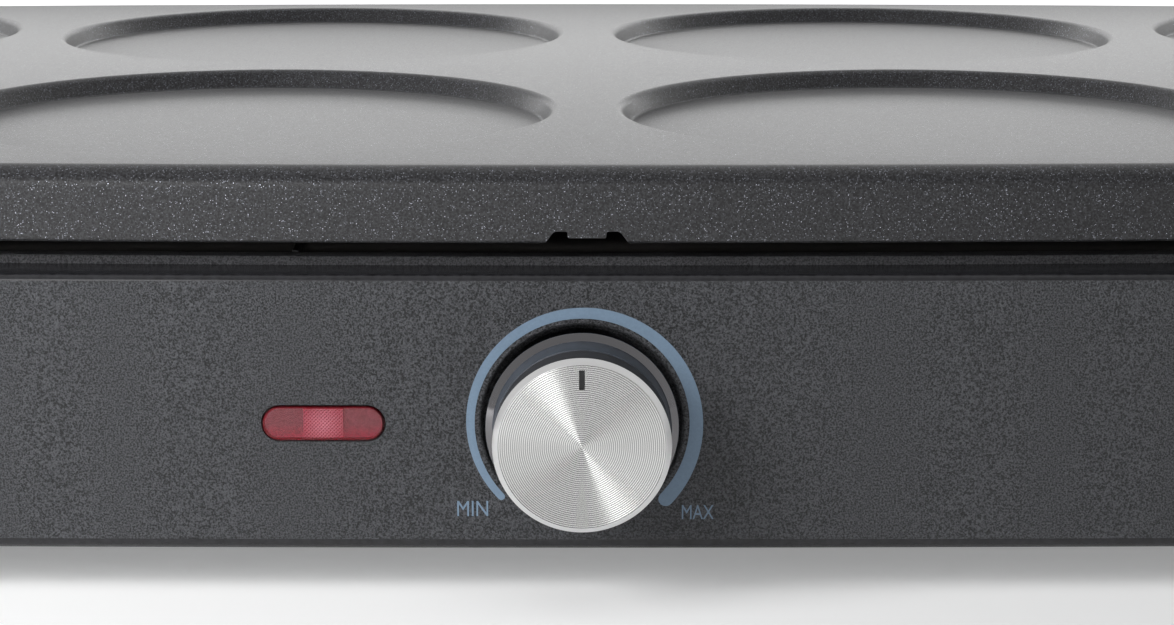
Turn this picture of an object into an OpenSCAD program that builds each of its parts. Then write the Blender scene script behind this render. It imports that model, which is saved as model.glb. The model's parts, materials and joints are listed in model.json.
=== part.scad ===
// Electric crepe maker: a cast plate with two rows of round wells rests on a
// heated base with a dial, a pilot lens and a handle at each end.

/* [Wells] */
// Distance between the centres of neighbouring wells
well_pitch = 128; // [124:1:132]
// Diameter of a well at its wall
well_d = 115; // [106:0.5:116]
// Depth of a well
well_depth = 3.55; // [3.2:0.05:4]
// Rounding of a well's rim
well_rim_r = 1.4; // [1:0.1:1.8]

/* [Plate] */
// Plate beyond the outermost pitch squares, along its length
plate_margin_x = 6; // [5:0.5:9]
// Plate beyond the outermost pitch squares, across its depth
plate_margin_y = 7; // [6:0.5:10]
// Height of the plate from its skirt's lower edge to its top
plate_h = 12.5; // [12:0.5:15]
// Thickness of the casting between the wells and under their floors
plate_t = 4; // [3.5:0.25:4.5]
// Thickness of the skirt round the plate
skirt_t = 3.5; // [3:0.25:4.5]
// Rounding of the plate's upper edge
plate_edge_r = 2.5; // [1.5:0.25:3]
// Bow radius of the plate's long sides
plate_bow_r = 2200; // [2000:50:2600]
// Bow radius of the plate's ends
end_bow_r = 900; // [800:25:1100]
// Radius of the plate's corners
plate_corner_r = 30; // [26:1:34]
// Width of the notch in the skirt, at the skirt's lower edge
notch_w = 13.65; // [12:0.05:16]
// Height of the notch
notch_h = 2; // [1.5:0.1:2.5]
// Width of the locating tab inside the notch
tab_w = 6.35; // [5:0.05:7]

/* [Housing] */
// Height of the housing
body_h = 46.8; // [46:0.1:49.5]
// Lead of the housing's front over the plate's front
panel_lead = 2; // [1.5:0.25:3]
// Wall thickness of the housing
wall = 2.5; // [2.2:0.1:2.8]
// Rounding of the housing's upper edge
body_edge_r = 1.2; // [0.8:0.1:1.8]
// Rounding of the housing's lower edge
body_low_r = 2; // [1.2:0.1:2.1]
// Radius of the housing's corners
body_corner_r = 42; // [38:1:46]
// Height of the feet under the housing
foot_h = 7.5; // [6.5:0.5:9.5]

/* [Lip] */
// Distance that the lip stands back from the plate's edge
lip_back = 6.5; // [6:0.25:7.5]
// Height of the lip over the housing's ledge
lip_h = 1.5; // [1.2:0.1:2]
// Air gap between the lip and the plate's skirt
plate_gap = 3.4; // [3:0.1:4]

/* [Front panel] */
// Place of the dial along the panel, from its middle
dial_x = -0.8; // [-2:0.1:2]
// Height of the dial's axis over the housing's lower edge
dial_up = 21.9; // [21.5:0.1:22.5]
// Diameter of the dial's face
dial_face_d = 28.8; // [27:0.1:29]
// Diameter of the dial's skirt
dial_skirt_d = 31.8; // [30.8:0.1:32.2]
// Diameter of the round recess behind the dial
dish_d = 33; // [32.8:0.1:34.2]
// Depth of the recess
dish_depth = 2.5; // [2.2:0.1:2.6]
// Reach of the dial's face in front of the panel
dial_reach = 15; // [14:0.1:15.5]
// Length of the pilot lens
lens_w = 20; // [18:0.5:22]
// Height of the pilot lens
lens_h = 5.6; // [5:0.1:6.5]
// Place of the lens along the panel
lens_x = -43.5; // [-46:0.5:-42]

/* [Handles] */
// Height of the handles' axis over the housing's lower edge
handle_up = 26.5; // [24.5:0.5:28.5]
// Reach of each handle beyond its pad
handle_reach = 35; // [33:1:40]
// Distance between the two legs of a handle
handle_span = 104; // [96:1:112]
// Height of a handle's section
grip_h = 18; // [16:0.5:20]
// Width of a handle's section
grip_w = 12; // [11:0.5:13]

/* [Feet] */
// Diameter of a foot at its widest
foot_d = 22; // [20:0.5:26]
// Diameter of a foot's sole
sole_d = 17.6; // [15:0.5:18.5]

/* [Heater] */
// Diameter of the heating element's sheath
element_d = 6.5; // [6:0.1:6.8]
// Height of the element's axis under the plate's top
element_drop = 21.7; // [21.2:0.1:22.5]
// Height of the reflector tray over the housing's lower edge
tray_up = 18.5; // [17.5:0.25:19.5]

/* [Hidden] */

// Fits and overshoots
fit = 0.05;        // running fit, on the radius
play = 0.3;        // clearance between fixed pieces
over = 1;          // how far a cut runs past its face, or a join into it
screw_play = 0.04; // round a screw in its post
clear_r = 0.2;     // round a screw in sheet metal

// Screws: [shank radius, length, head radius, head height]
base_screw = [1.5, 12, 3, 1.6];
frame_screw = [1.5, 14, 3, 1.6];
tray_screw = [1.3, 7, 2.8, 1.6];
switch_screw = [1.3, 7, 2.6, 1.8];
bracket_screw = [1.46, 6.5, 2.6, 1.8];
handle_screw = [1.9, 17.6, 3.5, 2.2];
ground_screw = [1.95, 8, 3.4, 1.7];

// Wells
columns = 4;
rows = 2;
well_r = well_d / 2;

// Outlines: [length, depth, bow radius of long sides, of ends, corner radius]
plate_o = [
    columns * well_pitch + 2 * plate_margin_x,
    rows * well_pitch + 2 * plate_margin_y,
    plate_bow_r, end_bow_r, plate_corner_r
];
body_o = [
    plate_o[0] + 2 * panel_lead,
    plate_o[1] + 2 * panel_lead,
    6000, end_bow_r, body_corner_r
];
lip_o = inset(plate_o, lip_back);
tray_o = inset(lip_o, 22, 20);

// Heights
body_z = foot_h;
body_top = body_z + body_h;
lip_top = body_top + lip_h;
skirt_z = lip_top + plate_gap;
plate_top = skirt_z + plate_h;
plate_under = plate_top - plate_t;
floor_t = 3.5;         // casting under a well's floor
rib_t = 3;             // ribs under the plate
skirt_edge_r = 0.6;
boss_under = plate_top - well_depth - floor_t;
base_t = 1.2;
base_z = body_z + 2;
base_top = base_z + base_t;
base_rim_h = 5;
dial_z = body_z + dial_up;
thermo = [30, 18, 19]; // the thermostat's length, depth and height
thermo_room = 1.4;     // over the thermostat
frame_flange_t = 2.5;
flange_z = dial_z + thermo.z / 2 + thermo_room;
frame_shelf = flange_z + frame_flange_t;
boss_z = flange_z - 5; // underside of the frame's bosses
tray_t = 0.8;
tray_shelf = frame_shelf + tray_t;
rim_slot_x = -0.4;
rim_slot_w = 2;
tray_z = body_z + tray_up;
tray_floor = tray_z + tray_t;
element_z = plate_top - element_drop;

// The housing's front and the reach of the whole along Y
front_y = -body_o[1] / 2;
panel_in = front_y + wall;
gland_out = 6.6;
body_y = (dial_reach - gland_out) / 2;

// Dial
dish_floor = front_y + dish_depth;
dish_boss = dish_floor + wall;
dish_boss_r = dish_d / 2 + 2;
shaft_r = 3;
shaft_flat = 2;      // from the shaft's axis up to its flat
shaft_hole_r = 5;
shaft_out = 10.5;    // of the shaft in front of the panel
knob_sink = 1.5;     // of the knob's skirt into the recess
knob_skirt_l = 2.6;  // in front of the panel
knob_wall = 1.9;
hub_r = 6;
barrel_r = dial_face_d / 2 - 0.2;
knob_neck = [14.7, 4.2, 8]; // radius at the cone, reach at the cone and at the barrel
face_t = 1;
face_bevel = [0.9, 0.85];
pointer = [0.8, 3, 0.6];
pointer_up = 11;
pointer_play = 0.05;

// Thermostat
bracket_y = front_y + 8.5;
bracket_t = 1.5;
bracket_h = 16;
bracket_l = 54.8;
thermo_y = bracket_y + bracket_t;
switch_screw_x = 11;
bracket_screw_x = 24;
boss_r = 4;          // of the two posts that carry the bracket
neck_r = 4.5;        // of the thermostat's threaded neck
blade = [0.8, 6.3, 6];

// Places of posts, feet and screws, mirrored to all four quarters
frame_posts = [
    [95, tray_o[1] / 2 + 7.5],
    [tray_o[0] / 2 + 9.5, 45]
];
body_post = [body_o[0] / 2 - 28, body_o[1] / 2 - 31];
foot_at = [body_o[0] / 2 - 50, body_o[1] / 2 - 39];
plate_foot = [well_pitch, tray_o[1] / 2 + 5.5];
tray_screw_at = [
    [60, tray_o[1] / 2 + 8.5],
    [tray_o[0] / 2 - 29.5, tray_o[1] / 2 - 1.5]
];
post_r = 4.5;
post_h = 20;
frame_post_r = 4;
tray_boss_r = 3.5;
spigot_r = 3.5;
spigot_l = 6;
foot_hole_r = 3.6;

// Base plate's vents, [length, width], and its pressed ribs
vents = 5;
vent_pitch = 12;
vent_at = [130, 30];
vent = [44, 4];
rib_ys = [-75, 0, 75];
rib_l = 400;
rib_w = 9;
rib_up = 0.8;

// Handles
handle_x = body_o[0] / 2 + 0.6;
handle_z = body_z + handle_up;
grip_x = handle_x + handle_reach - grip_w / 2;
grip_bend = 13;
pad_r = 12;
pad_in = handle_x - 7.6;
flange_r = 11;
flange_l = 3.5;

// Element runs
element_r = element_d / 2;
bend_r = well_pitch / 4 - 2;
run_inner = bend_r;
run_y = 3 * bend_r;
leg_x = tray_o[0] / 2 - 37.5;
leg_bend = 12;
run_left = 44 - tray_o[0] / 2;
run_right = leg_x - 38;
insulator_r = 5;
insulator_l = 5;
leg_end = tray_z - insulator_l - 0.5;
pin_r = 1.25;
pin_end = base_top + 2.3;
rail_xs = [-150, -52, 110];
rail_t = 1.2;
rail_foot = 10;
rail_half = tray_o[1] / 2 - bow(tray_o, 150) - 0.5;
rail_window = [26, 7];
rivet_x = 6;
rivet_y = 60;
rivet_r = 1.2;
rivet_head = [2.2, 0.8];

// Sensor
bulb_x = 6;
bulb_l = 54;
bulb_r = 3;
pad_h = 8;
bulb_z = plate_under - pad_h - bulb_r - 0.7;
capillary_x = -30;
capillary_r = 0.9;

// Pilot lamp
lens_proud = 0.4;
lens_flange = [2.5, 1.2];
lamp_r = 2.6;
lamp_y = panel_in + 6.5;
holder = [26, 11.3, 14];
holder_t = 1.2;
holder_y = panel_in + 1.7;
cradle_x = 4.5;
lens_rib = [1.5, 9, 10];

// Wiring
gland_x = 150;
gland_r = 3.7;
gland_neck = 10.4;
gland_collar = [7.5, 3];
gland_head_r = 8;
block_at = [120, 118];
block = [30, 16, 13];
block_ways = 9;       // between its ways
block_hole_r = 2;
block_screw_r = 1.9;
earth_at = [88, 92];
fuse_at = [60, -60];
fuse_r = 2.5;
fuse_l = 14;
fuse_z = tray_z - 5.5;
lead_r = 1.3;
lamp_lead_r = 0.8;
wire_z = base_top + 5.2;
low_z = base_top + 2.4;
entry_z = base_top + 6;
tab_x = 8;
tab_y = thermo_y + 6;
tab_z = dial_z - 13;

// Steps along an outline's long side, round a corner or along an end, and up
// a rounded edge
side_steps = 16;
corner_steps = 8;
edge_steps = 4;

// --- Outlines and other shared shapes ---

function inset(o, t, least = 3) =
    [o[0] - 2 * t, o[1] - 2 * t, o[2] - t, o[3] - t, max(o[4] - t, least)];

// Centres of the front arc and of the right-hand arc of an outline
function front_c(o) = [0, o[2] - o[1] / 2];
function right_c(o) = [o[0] / 2 - o[3], 0];

// Centre of the corner arc between those two
function corner_c(o) =
    let (a = front_c(o),
         b = right_c(o),
         ra = o[2] - o[4],
         rb = o[3] - o[4],
         span = norm(b - a),
         u = (b - a) / span,
         along = (ra * ra - rb * rb + span * span) / (2 * span),
         across = sqrt(ra * ra - along * along))
    a + along * u + across * [-u.y, u.x];

// Points along an arc, without its last one
function arc(c, r, from, to, n) =
    [for (i = [0:n - 1])
        let (q = from + (to - from) * i / n) c + r * [cos(q), sin(q)]];

// An outline's points, anticlockwise from the left end of its front arc
function outline(o) =
    let (a = front_c(o),
         b = right_c(o),
         c = corner_c(o),
         qf = atan2(c.y - a.y, c.x - a.x),
         qs = atan2(c.y - b.y, c.x - b.x))
    concat(
        arc(a, o[2], -180 - qf, qf, side_steps),
        arc(c, o[4], qf, qs, corner_steps),
        arc(b, o[3], qs, -qs, corner_steps),
        arc([c.x, -c.y], o[4], -qs, -qf, corner_steps),
        arc(-a, o[2], -qf, 180 + qf, side_steps),
        arc(-c, o[4], 180 + qf, 180 + qs, corner_steps),
        arc(-b, o[3], 180 + qs, 180 - qs, corner_steps),
        arc([-c.x, c.y], o[4], 180 - qs, 180 - qf, corner_steps));

function level(o, t, z) = [for (p = outline(inset(o, t))) [p.x, p.y, z]];

// Rings up a slab whose lower and upper edges are rounded
function rounded_levels(o, z, h, top_r, low_r) = concat(
    [for (k = [0:edge_steps])
        let (q = 90 * k / edge_steps)
        level(o, low_r * (1 - sin(q)), z + low_r * (1 - cos(q)))],
    [for (k = [0:edge_steps])
        let (q = 90 * k / edge_steps)
        level(o, top_r * (1 - cos(q)), z + h - top_r * (1 - sin(q)))]);

// How far the front edge of an outline falls back at x
function bow(o, x) = o[2] - sqrt(o[2] * o[2] - x * x);

// How far the end of an outline falls back at y
function end_bow(o, y) = o[3] - sqrt(o[3] * o[3] - y * y);

module quarter_disc(r) {
    intersection() {
        circle(r, $fn = 48);
        square(r);
    }
}

module four_ways() {
    for (mx = [0, 1], my = [0, 1])
        mirror([mx, 0, 0]) mirror([0, my, 0]) children();
}

// A slab with four bowed sides and round corners, from z to z + h
module slab(o, z, h) {
    translate([0, 0, z]) linear_extrude(h) polygon(outline(o));
}

// A closed skin over rings of points, each anticlockwise seen from its far end
module skin(rings) {
    n = len(rings[0]);
    last = len(rings) - 1;
    walls = [for (i = [0:last - 1], s = [0:n - 1])
        [i * n + s, (i + 1) * n + s, (i + 1) * n + (s + 1) % n, i * n + (s + 1) % n]];
    ends = [[for (s = [0:n - 1]) s],
            [for (s = [0:n - 1]) last * n + n - 1 - s]];
    polyhedron([for (ring = rings) each ring], concat(walls, ends), convexity = 6);
}

module rounded_slab(o, z, h, top_r, low_r) {
    skin(rounded_levels(o, z, h, top_r, low_r));
}

// A wall between outline o and its inset by t
module ring_slab(o, t, z, h, least = 3) {
    difference() {
        slab(o, z, h);
        slab(inset(o, t, least), z - over, h + 2 * over);
    }
}

module at_body() {
    translate([0, body_y, 0]) children();
}

module rod(r, z0, z1) {
    translate([0, 0, z0]) cylinder(r = r, h = z1 - z0, $fn = 48);
}

// A rod along Y, from y0 back to y1
module rod_y(r, y0, y1) {
    translate([0, y0, 0]) rotate([-90, 0, 0])
        cylinder(r = r, h = y1 - y0, $fn = 96);
}

// A rod along X
module rod_x(r, x0, x1) {
    translate([x0, 0, 0]) rotate([0, 90, 0])
        cylinder(r = r, h = x1 - x0, $fn = 48);
}

module box(from, to) {
    translate(from) cube(to - from);
}

// A stadium lying along X
module stadium(w, h) {
    r = h / 2;
    square([w - h, h], center = true);
    for (s = [-1, 1])
        translate([s * (w - h) / 2, 0]) circle(r, $fn = 48);
}

// A pan-head screw: its head's underside is at the origin, its shank goes down
module screw(size) {
    head_r = size[2];
    head_h = size[3];
    difference() {
        union() {
            cylinder(r = size[0], h = size[1], $fn = 32);
            translate([0, 0, -head_h]) cylinder(r = head_r, h = head_h, $fn = 48);
        }
        for (a = [0, 90])
            rotate(a) translate([0, 0, -head_h - over])
                linear_extrude(over + head_h * 0.55)
                    square([head_r * 1.2, head_r * 0.3], center = true);
    }
}

// Smooth path through points, with n steps between neighbours
function spline_at(a, b, c, d, t) =
    0.5 * (2 * b + (c - a) * t + (2 * a - 5 * b + 4 * c - d) * t * t
           + (3 * b - a - 3 * c + d) * t * t * t);
function smooth(p, n) = concat(
    [for (i = [0:len(p) - 2], k = [0:n - 1])
        spline_at(p[max(i - 1, 0)], p[i], p[i + 1], p[min(i + 2, len(p) - 1)], k / n)],
    [p[len(p) - 1]]);
function unit(v) = v / norm(v);
function off_axis(n, t) = unit(n - t * (n * t));

// A round tube along a path, with its ends closed
module tube(path, r, sides = 8) {
    last = len(path) - 1;
    along = [for (i = [0:last]) unit(path[min(i + 1, last)] - path[max(i - 1, 0)])];
    across = [for (i = 0, n = off_axis([0.31, 0.17, 0.93], along[0]); i <= last;
                   i = i + 1, n = off_axis(n, along[min(i, last)])) n];
    skin([for (i = [0:last])
        [for (s = [0:sides - 1])
            path[i] + r * (cos(360 * s / sides) * across[i]
                           + sin(360 * s / sides) * cross(along[i], across[i]))]]);
}

// --- Housing ---

module y_slot(w, h, y0, y1) {
    translate([0, y0, 0]) rotate([-90, 0, 0])
        linear_extrude(y1 - y0) stadium(w, h);
}

// A post inside the housing with a web to the end wall
module housing_post() {
    web_z = base_z + base_rim_h + play;
    translate(body_post) rod(post_r, base_top, base_top + post_h);
    intersection() {
        box([body_post.x, body_post.y - 1, web_z],
            [body_o[0] / 2, body_post.y + 1, base_top + post_h]);
        slab(inset(body_o, wall / 2), body_z, body_h - wall);
    }
}

module housing_solid() {
    difference() {
        rounded_slab(body_o, body_z, body_h, body_edge_r, body_low_r);
        slab(inset(body_o, wall), body_z - over, body_h - wall + over);
        slab(inset(lip_o, 0.9), body_top - wall - over, wall + 2 * over);
    }
    translate([dial_x, 0, dial_z]) {
        intersection() {
            rod_y(dish_boss_r, panel_in - 0.5, dish_boss);
            box([-dish_d, front_y, base_top + play - dial_z], [dish_d, dish_boss + over, dish_d]);
        }
        for (s = [-1, 1])
            translate([s * bracket_screw_x, 0, 0]) rod_y(boss_r, panel_in - 0.5, bracket_y);
    }
    translate([lens_x, 0, dial_z]) for (s = [-1, 1])
        translate([s * (holder.x / 2 + play + lens_rib.x / 2), panel_in + lens_rib.y / 2 - 0.5, 0])
            cube(lens_rib, center = true);
    four_ways() housing_post();
    four_ways() translate([0, handle_span / 2, handle_z]) rod_x(pad_r, pad_in, handle_x);
}

module housing() color([0.27, 0.27, 0.29]) at_body() difference() {
    housing_solid();
    translate([dial_x, 0, dial_z]) {
        rod_y(dish_d / 2, front_y - over, dish_floor);
        rod_y(shaft_hole_r, dish_floor - over, dish_boss + over);
        for (s = [-1, 1]) translate([s * bracket_screw_x, 0, 0])
            rod_y(bracket_screw[0] + screw_play, bracket_y - 5.5, bracket_y + over);
    }
    translate([lens_x, 0, dial_z])
        y_slot(lens_w + 2 * play, lens_h + 2 * play, front_y - over, panel_in + over);
    four_ways() translate([0, handle_span / 2, handle_z])
        rod_x(handle_screw[0] + play, pad_in - over, handle_x + over);
    four_ways() translate(body_post)
        rod(base_screw[0] + screw_play, base_top - over, base_z + base_screw[1] + over);
    translate([gland_x, 0, dial_z])
        gland_neck_box(fit, body_o[1] / 2 - wall - 6, body_o[1] / 2 + over);
}

// A pressed rib along the base plate, as a solid from z to z + h
module base_rib(y, w, z, h) {
    translate([0, y, z]) linear_extrude(h) stadium(rib_l, w);
}

module base_plate() color([0.6, 0.61, 0.62]) at_body() difference() {
    union() {
        slab(inset(body_o, wall + play), base_z, base_t);
        ring_slab(inset(body_o, wall + play), base_t, base_z, base_rim_h);
        for (y = rib_ys) base_rib(y, rib_w, base_z, base_t + rib_up);
    }
    for (y = rib_ys) base_rib(y, rib_w - 2 * base_t, base_z - over, rib_up + over);
    four_ways() {
        translate(foot_at) rod(foot_hole_r, base_z - over, base_top + over);
        for (at = concat([body_post], frame_posts))
            translate(at) rod(base_screw[0] + clear_r, base_z - over, base_top + over);
        for (i = [0:vents - 1])
            translate([vent_at.x + vent_pitch * i, vent_at.y, base_z - over])
                linear_extrude(base_t + 2 * over) rotate(90) stadium(vent.x, vent.y);
    }
    translate(earth_at) rod(ground_screw[0] + clear_r / 2, base_z - over, base_top + over);
    box([dial_x - dish_boss_r - play, front_y, base_top],
        [dial_x + dish_boss_r + play, dish_boss + play, base_z + base_rim_h + over]);
}

// The cord bush's square neck, which keeps it from turning in the housing
module gland_neck_box(grow, y0, y1) {
    half = gland_neck / 2 + grow;
    box([-half, y0, -half], [half, y1, half]);
}

module cable_gland() color([0.1, 0.1, 0.1]) at_body()
    translate([gland_x, 0, dial_z]) difference() {
        wall_y = body_o[1] / 2 - bow(body_o, gland_x);
        collar_y = wall_y - wall - 0.4;
        out_y = body_o[1] / 2 + gland_out;
        union() {
            rod_y(gland_collar[0], collar_y - gland_collar[1], collar_y);
            gland_neck_box(0, collar_y - 0.1, wall_y + 0.5);
            rod_y(gland_head_r, wall_y + play, out_y - 1.5);
            rod_y(gland_head_r - 1.4, out_y - 1.6, out_y);
        }
        rod_y(gland_r, collar_y - gland_collar[1] - over, out_y + over);
    }

// --- Frame and tray ---

module top_frame() color([0.24, 0.24, 0.26]) at_body() difference() {
    union() {
        ring_slab(lip_o, 2.5, body_top, lip_h);
        ring_slab(inset(lip_o, 1.2), 2.2, flange_z, lip_top - flange_z);
        difference() {
            slab(inset(lip_o, 1.2), flange_z, frame_flange_t);
            slab(inset(tray_o, -tray_t - play), flange_z - over, frame_flange_t + 2 * over);
        }
        four_ways() {
            for (at = frame_posts) translate(at) rod(frame_post_r, base_top, flange_z + over);
            translate(plate_foot) rod(2 * spigot_r, boss_z, flange_z + over);
            for (at = tray_screw_at) translate(at) rod(tray_boss_r, boss_z, flange_z + over);
        }
    }
    four_ways() {
        for (at = frame_posts) translate(at)
            rod(frame_screw[0] + screw_play, base_top - over, base_z + frame_screw[1] + over);
        translate(plate_foot) rod(spigot_r + play, boss_z - over, frame_shelf + over);
        for (at = tray_screw_at)
            translate(at) rod(tray_screw[0] + screw_play, boss_z - over, frame_shelf + over);
    }
}

module reflector_tray() color([0.78, 0.79, 0.8]) at_body() difference() {
    union() {
        ring_slab(inset(lip_o, 3.7), tray_t, frame_shelf, lip_top - 0.4 - frame_shelf);
        difference() {
            slab(inset(lip_o, 3.7), frame_shelf, tray_t);
            slab(tray_o, frame_shelf - over, tray_t + 2 * over);
        }
        ring_slab(inset(tray_o, -tray_t), tray_t, tray_z, tray_shelf - tray_z);
        slab(inset(tray_o, -tray_t), tray_z, tray_t);
    }
    four_ways() {
        translate(plate_foot) rod(spigot_r + play, frame_shelf - over, tray_shelf + over);
        for (at = tray_screw_at)
            translate(at) rod(tray_screw[0] + clear_r, frame_shelf - over, tray_shelf + over);
    }
    for (s = [-1, 1]) {
        translate([leg_x, s * run_y]) rod(insulator_r + fit, tray_z - over, tray_floor + over);
        for (x = rail_xs) translate([x + rivet_x, s * rivet_y])
            rod(rivet_r + fit, tray_z - over, tray_floor + over);
    }
    translate([capillary_x, 0]) rod(2.5, tray_z - over, tray_floor + over);
    box([rim_slot_x, -lip_o[1] / 2, lip_top - 2],
        [rim_slot_x + rim_slot_w, -lip_o[1] / 2 + 8, lip_top]);
}

// --- Heater ---

module element_bend(x, y, turn) {
    translate([x, y, 0]) rotate(turn) rotate_extrude(angle = 180, $fn = 96)
        translate([bend_r, 0]) circle(element_r, $fn = 32);
}

module element_leg(y) {
    translate([leg_x - leg_bend, y, element_z - leg_bend]) rotate([90, 0, 0])
        rotate_extrude(angle = 90, $fn = 96)
            translate([leg_bend, 0]) circle(element_r, $fn = 32);
    translate([leg_x, y]) rod(element_r, leg_end, element_z - leg_bend);
}

module heating_element() color([0.33, 0.31, 0.3]) at_body() {
    translate([0, 0, element_z]) {
        for (s = [-1, 1]) {
            translate([0, s * run_y, 0]) rod_x(element_r, run_left, leg_x - leg_bend);
            translate([0, s * run_inner, 0]) rod_x(element_r, run_left, run_right);
            element_bend(run_left, s * 2 * bend_r, 90);
        }
        element_bend(run_right, 0, -90);
    }
    for (s = [-1, 1]) element_leg(s * run_y);
}

module rail(x) {
    difference() {
        union() {
            box([x, -rail_half, tray_floor], [x + rail_t, rail_half, element_z + 1.5]);
            box([x, -rail_half, tray_floor], [x + rail_foot, rail_half, tray_floor + rail_t]);
        }
        for (s = [-1, 1]) {
            for (y = [run_inner, run_y]) translate([0, s * y, element_z]) {
                rod_x(element_r + fit, x - over, x + rail_t + over);
                box([x - over, -element_r - fit, 0], [x + rail_t + over, element_r + fit, over + 2]);
            }
            translate([x - over, s * 2 * bend_r, tray_floor + 9]) rotate([90, 0, 90])
                linear_extrude(rail_t + 2 * over) stadium(rail_window.x, rail_window.y);
            translate([x + rivet_x, s * rivet_y])
                rod(rivet_r + fit, tray_floor - over, tray_floor + rail_t + over);
        }
    }
}

module element_supports() color([0.66, 0.66, 0.65]) at_body()
    for (x = rail_xs) rail(x);

module rail_rivets() color([0.72, 0.72, 0.72]) at_body()
    for (x = rail_xs, s = [-1, 1]) translate([x + rivet_x, s * rivet_y]) {
        rod(rivet_r, tray_z - rivet_head[1], tray_floor + rail_t + rivet_head[1]);
        rod(rivet_head[0], tray_floor + rail_t, tray_floor + rail_t + rivet_head[1]);
        rod(rivet_head[0] - clear_r, tray_z - rivet_head[1], tray_z);
    }

module terminal_insulators() color([0.93, 0.92, 0.88]) at_body()
    for (s = [-1, 1]) translate([leg_x, s * run_y]) difference() {
        union() {
            rod(insulator_r, tray_z - insulator_l, tray_floor + over);
            rod(insulator_r + 1.5, tray_floor, tray_floor + 2);
        }
        rod(element_r + fit, tray_z - insulator_l - over, tray_floor + 2 + over);
    }

module element_terminals() color([0.8, 0.68, 0.36]) at_body()
    for (s = [-1, 1]) translate([leg_x, s * run_y]) {
        rod(pin_r, pin_end, leg_end);
        translate([0, 0, leg_end - 2.6]) cylinder(r = 3, h = 1.8, $fn = 6);
    }

// --- Thermostat ---

module at_dial() {
    at_body() translate([dial_x, 0, dial_z]) children();
}

module thermostat_body() color([0.86, 0.84, 0.78]) at_dial() difference() {
    union() {
        box([-thermo.x / 2, thermo_y, -thermo.z / 2],
            [thermo.x / 2, thermo_y + thermo.y, thermo.z / 2]);
        rod_y(neck_r, thermo_y - 5.5, thermo_y + over);
        for (s = [-1, 1])
            box([s * tab_x - blade.x / 2, tab_y, -thermo.z / 2 - blade.z],
                [s * tab_x + blade.x / 2, tab_y + blade.y, -thermo.z / 2 + over]);
        translate([0, thermo_y + thermo.y / 2, -5])
            rod_x(1.5, -thermo.x / 2 - 2, -thermo.x / 2 + over);
    }
    rod_y(shaft_r + fit, thermo_y - 6.5, thermo_y + 12);
    for (s = [-1, 1]) translate([s * switch_screw_x, 0, 0])
        rod_y(switch_screw[0] + screw_play, thermo_y - over, thermo_y + switch_screw[1]);
}

module thermostat_bracket() color([0.7, 0.7, 0.68]) at_dial() difference() {
    box([-bracket_l / 2, bracket_y, -bracket_h / 2], [bracket_l / 2, thermo_y, bracket_h / 2]);
    rod_y(neck_r + clear_r, bracket_y - over, thermo_y + over);
    for (x = [switch_screw_x, bracket_screw_x], s = [-1, 1])
        translate([s * x, 0, 0]) rod_y(bracket_screw[0] + clear_r, bracket_y - over, thermo_y + over);
}

module thermostat_screws() color([0.75, 0.74, 0.7]) at_dial()
    for (s = [-1, 1]) {
        translate([s * switch_screw_x, bracket_y, 0]) rotate([-90, 0, 0]) screw(switch_screw);
        translate([s * bracket_screw_x, thermo_y, 0]) rotate([90, 0, 0]) screw(bracket_screw);
    }

module thermostat_shaft() color([0.8, 0.8, 0.79]) at_dial() difference() {
    rod_y(shaft_r, front_y - shaft_out, thermo_y + 11.5);
    box([-shaft_r - over, front_y - shaft_out - over, shaft_flat],
        [shaft_r + over, front_y + 4, shaft_r + over]);
}

module capillary_tube() color([0.75, 0.5, 0.35]) at_body()
    tube(smooth([
        [dial_x - thermo.x / 2 - 2.2, thermo_y + thermo.y / 2, dial_z - 5],
        [-26, thermo_y + 11, dial_z - 8],
        [-30, -98, tray_z - 7],
        [-29, -50, tray_z - 7],
        [-30, -12, tray_z - 6],
        [capillary_x, -1, tray_z - 2],
        [capillary_x, 0, tray_z + 8],
        [capillary_x, 0, bulb_z - 8],
        [capillary_x + 2, 0, bulb_z - 2],
        [bulb_x - bulb_l / 2 - 0.2, 0, bulb_z]
    ], 3), capillary_r);

module sensor_bulb() color([0.76, 0.52, 0.38]) at_body()
    translate([0, 0, bulb_z]) rod_x(bulb_r, bulb_x - bulb_l / 2, bulb_x + bulb_l / 2);

module bulb_clip() color([0.66, 0.66, 0.65]) at_body() translate([bulb_x, 0, 0]) {
    half = 4;
    hold = bulb_r + fit;
    box([-half, -10, tray_floor], [half, 10, tray_floor + tray_t]);
    for (s = [-1, 1])
        box([-half, s * (hold + tray_t / 2) - tray_t / 2, tray_floor],
            [half, s * (hold + tray_t / 2) + tray_t / 2, bulb_z]);
    translate([0, 0, bulb_z]) difference() {
        rod_x(hold + tray_t, -half, half);
        rod_x(hold, -half - over, half + over);
        box([-half - over, -hold - over, 0], [half + over, hold + over, hold + 2]);
    }
}

// --- Pilot lamp ---

module at_lens() {
    at_body() translate([lens_x, 0, dial_z]) children();
}

module indicator_lens() color([0.75, 0.2, 0.25, 0.75]) at_lens() {
    flange_y = panel_in + play;
    wide = 2 * lens_flange[0];
    y_slot(lens_w, lens_h, front_y - lens_proud, flange_y + 0.5);
    y_slot(lens_w + wide, lens_h + wide, flange_y, flange_y + lens_flange[1]);
}

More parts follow.
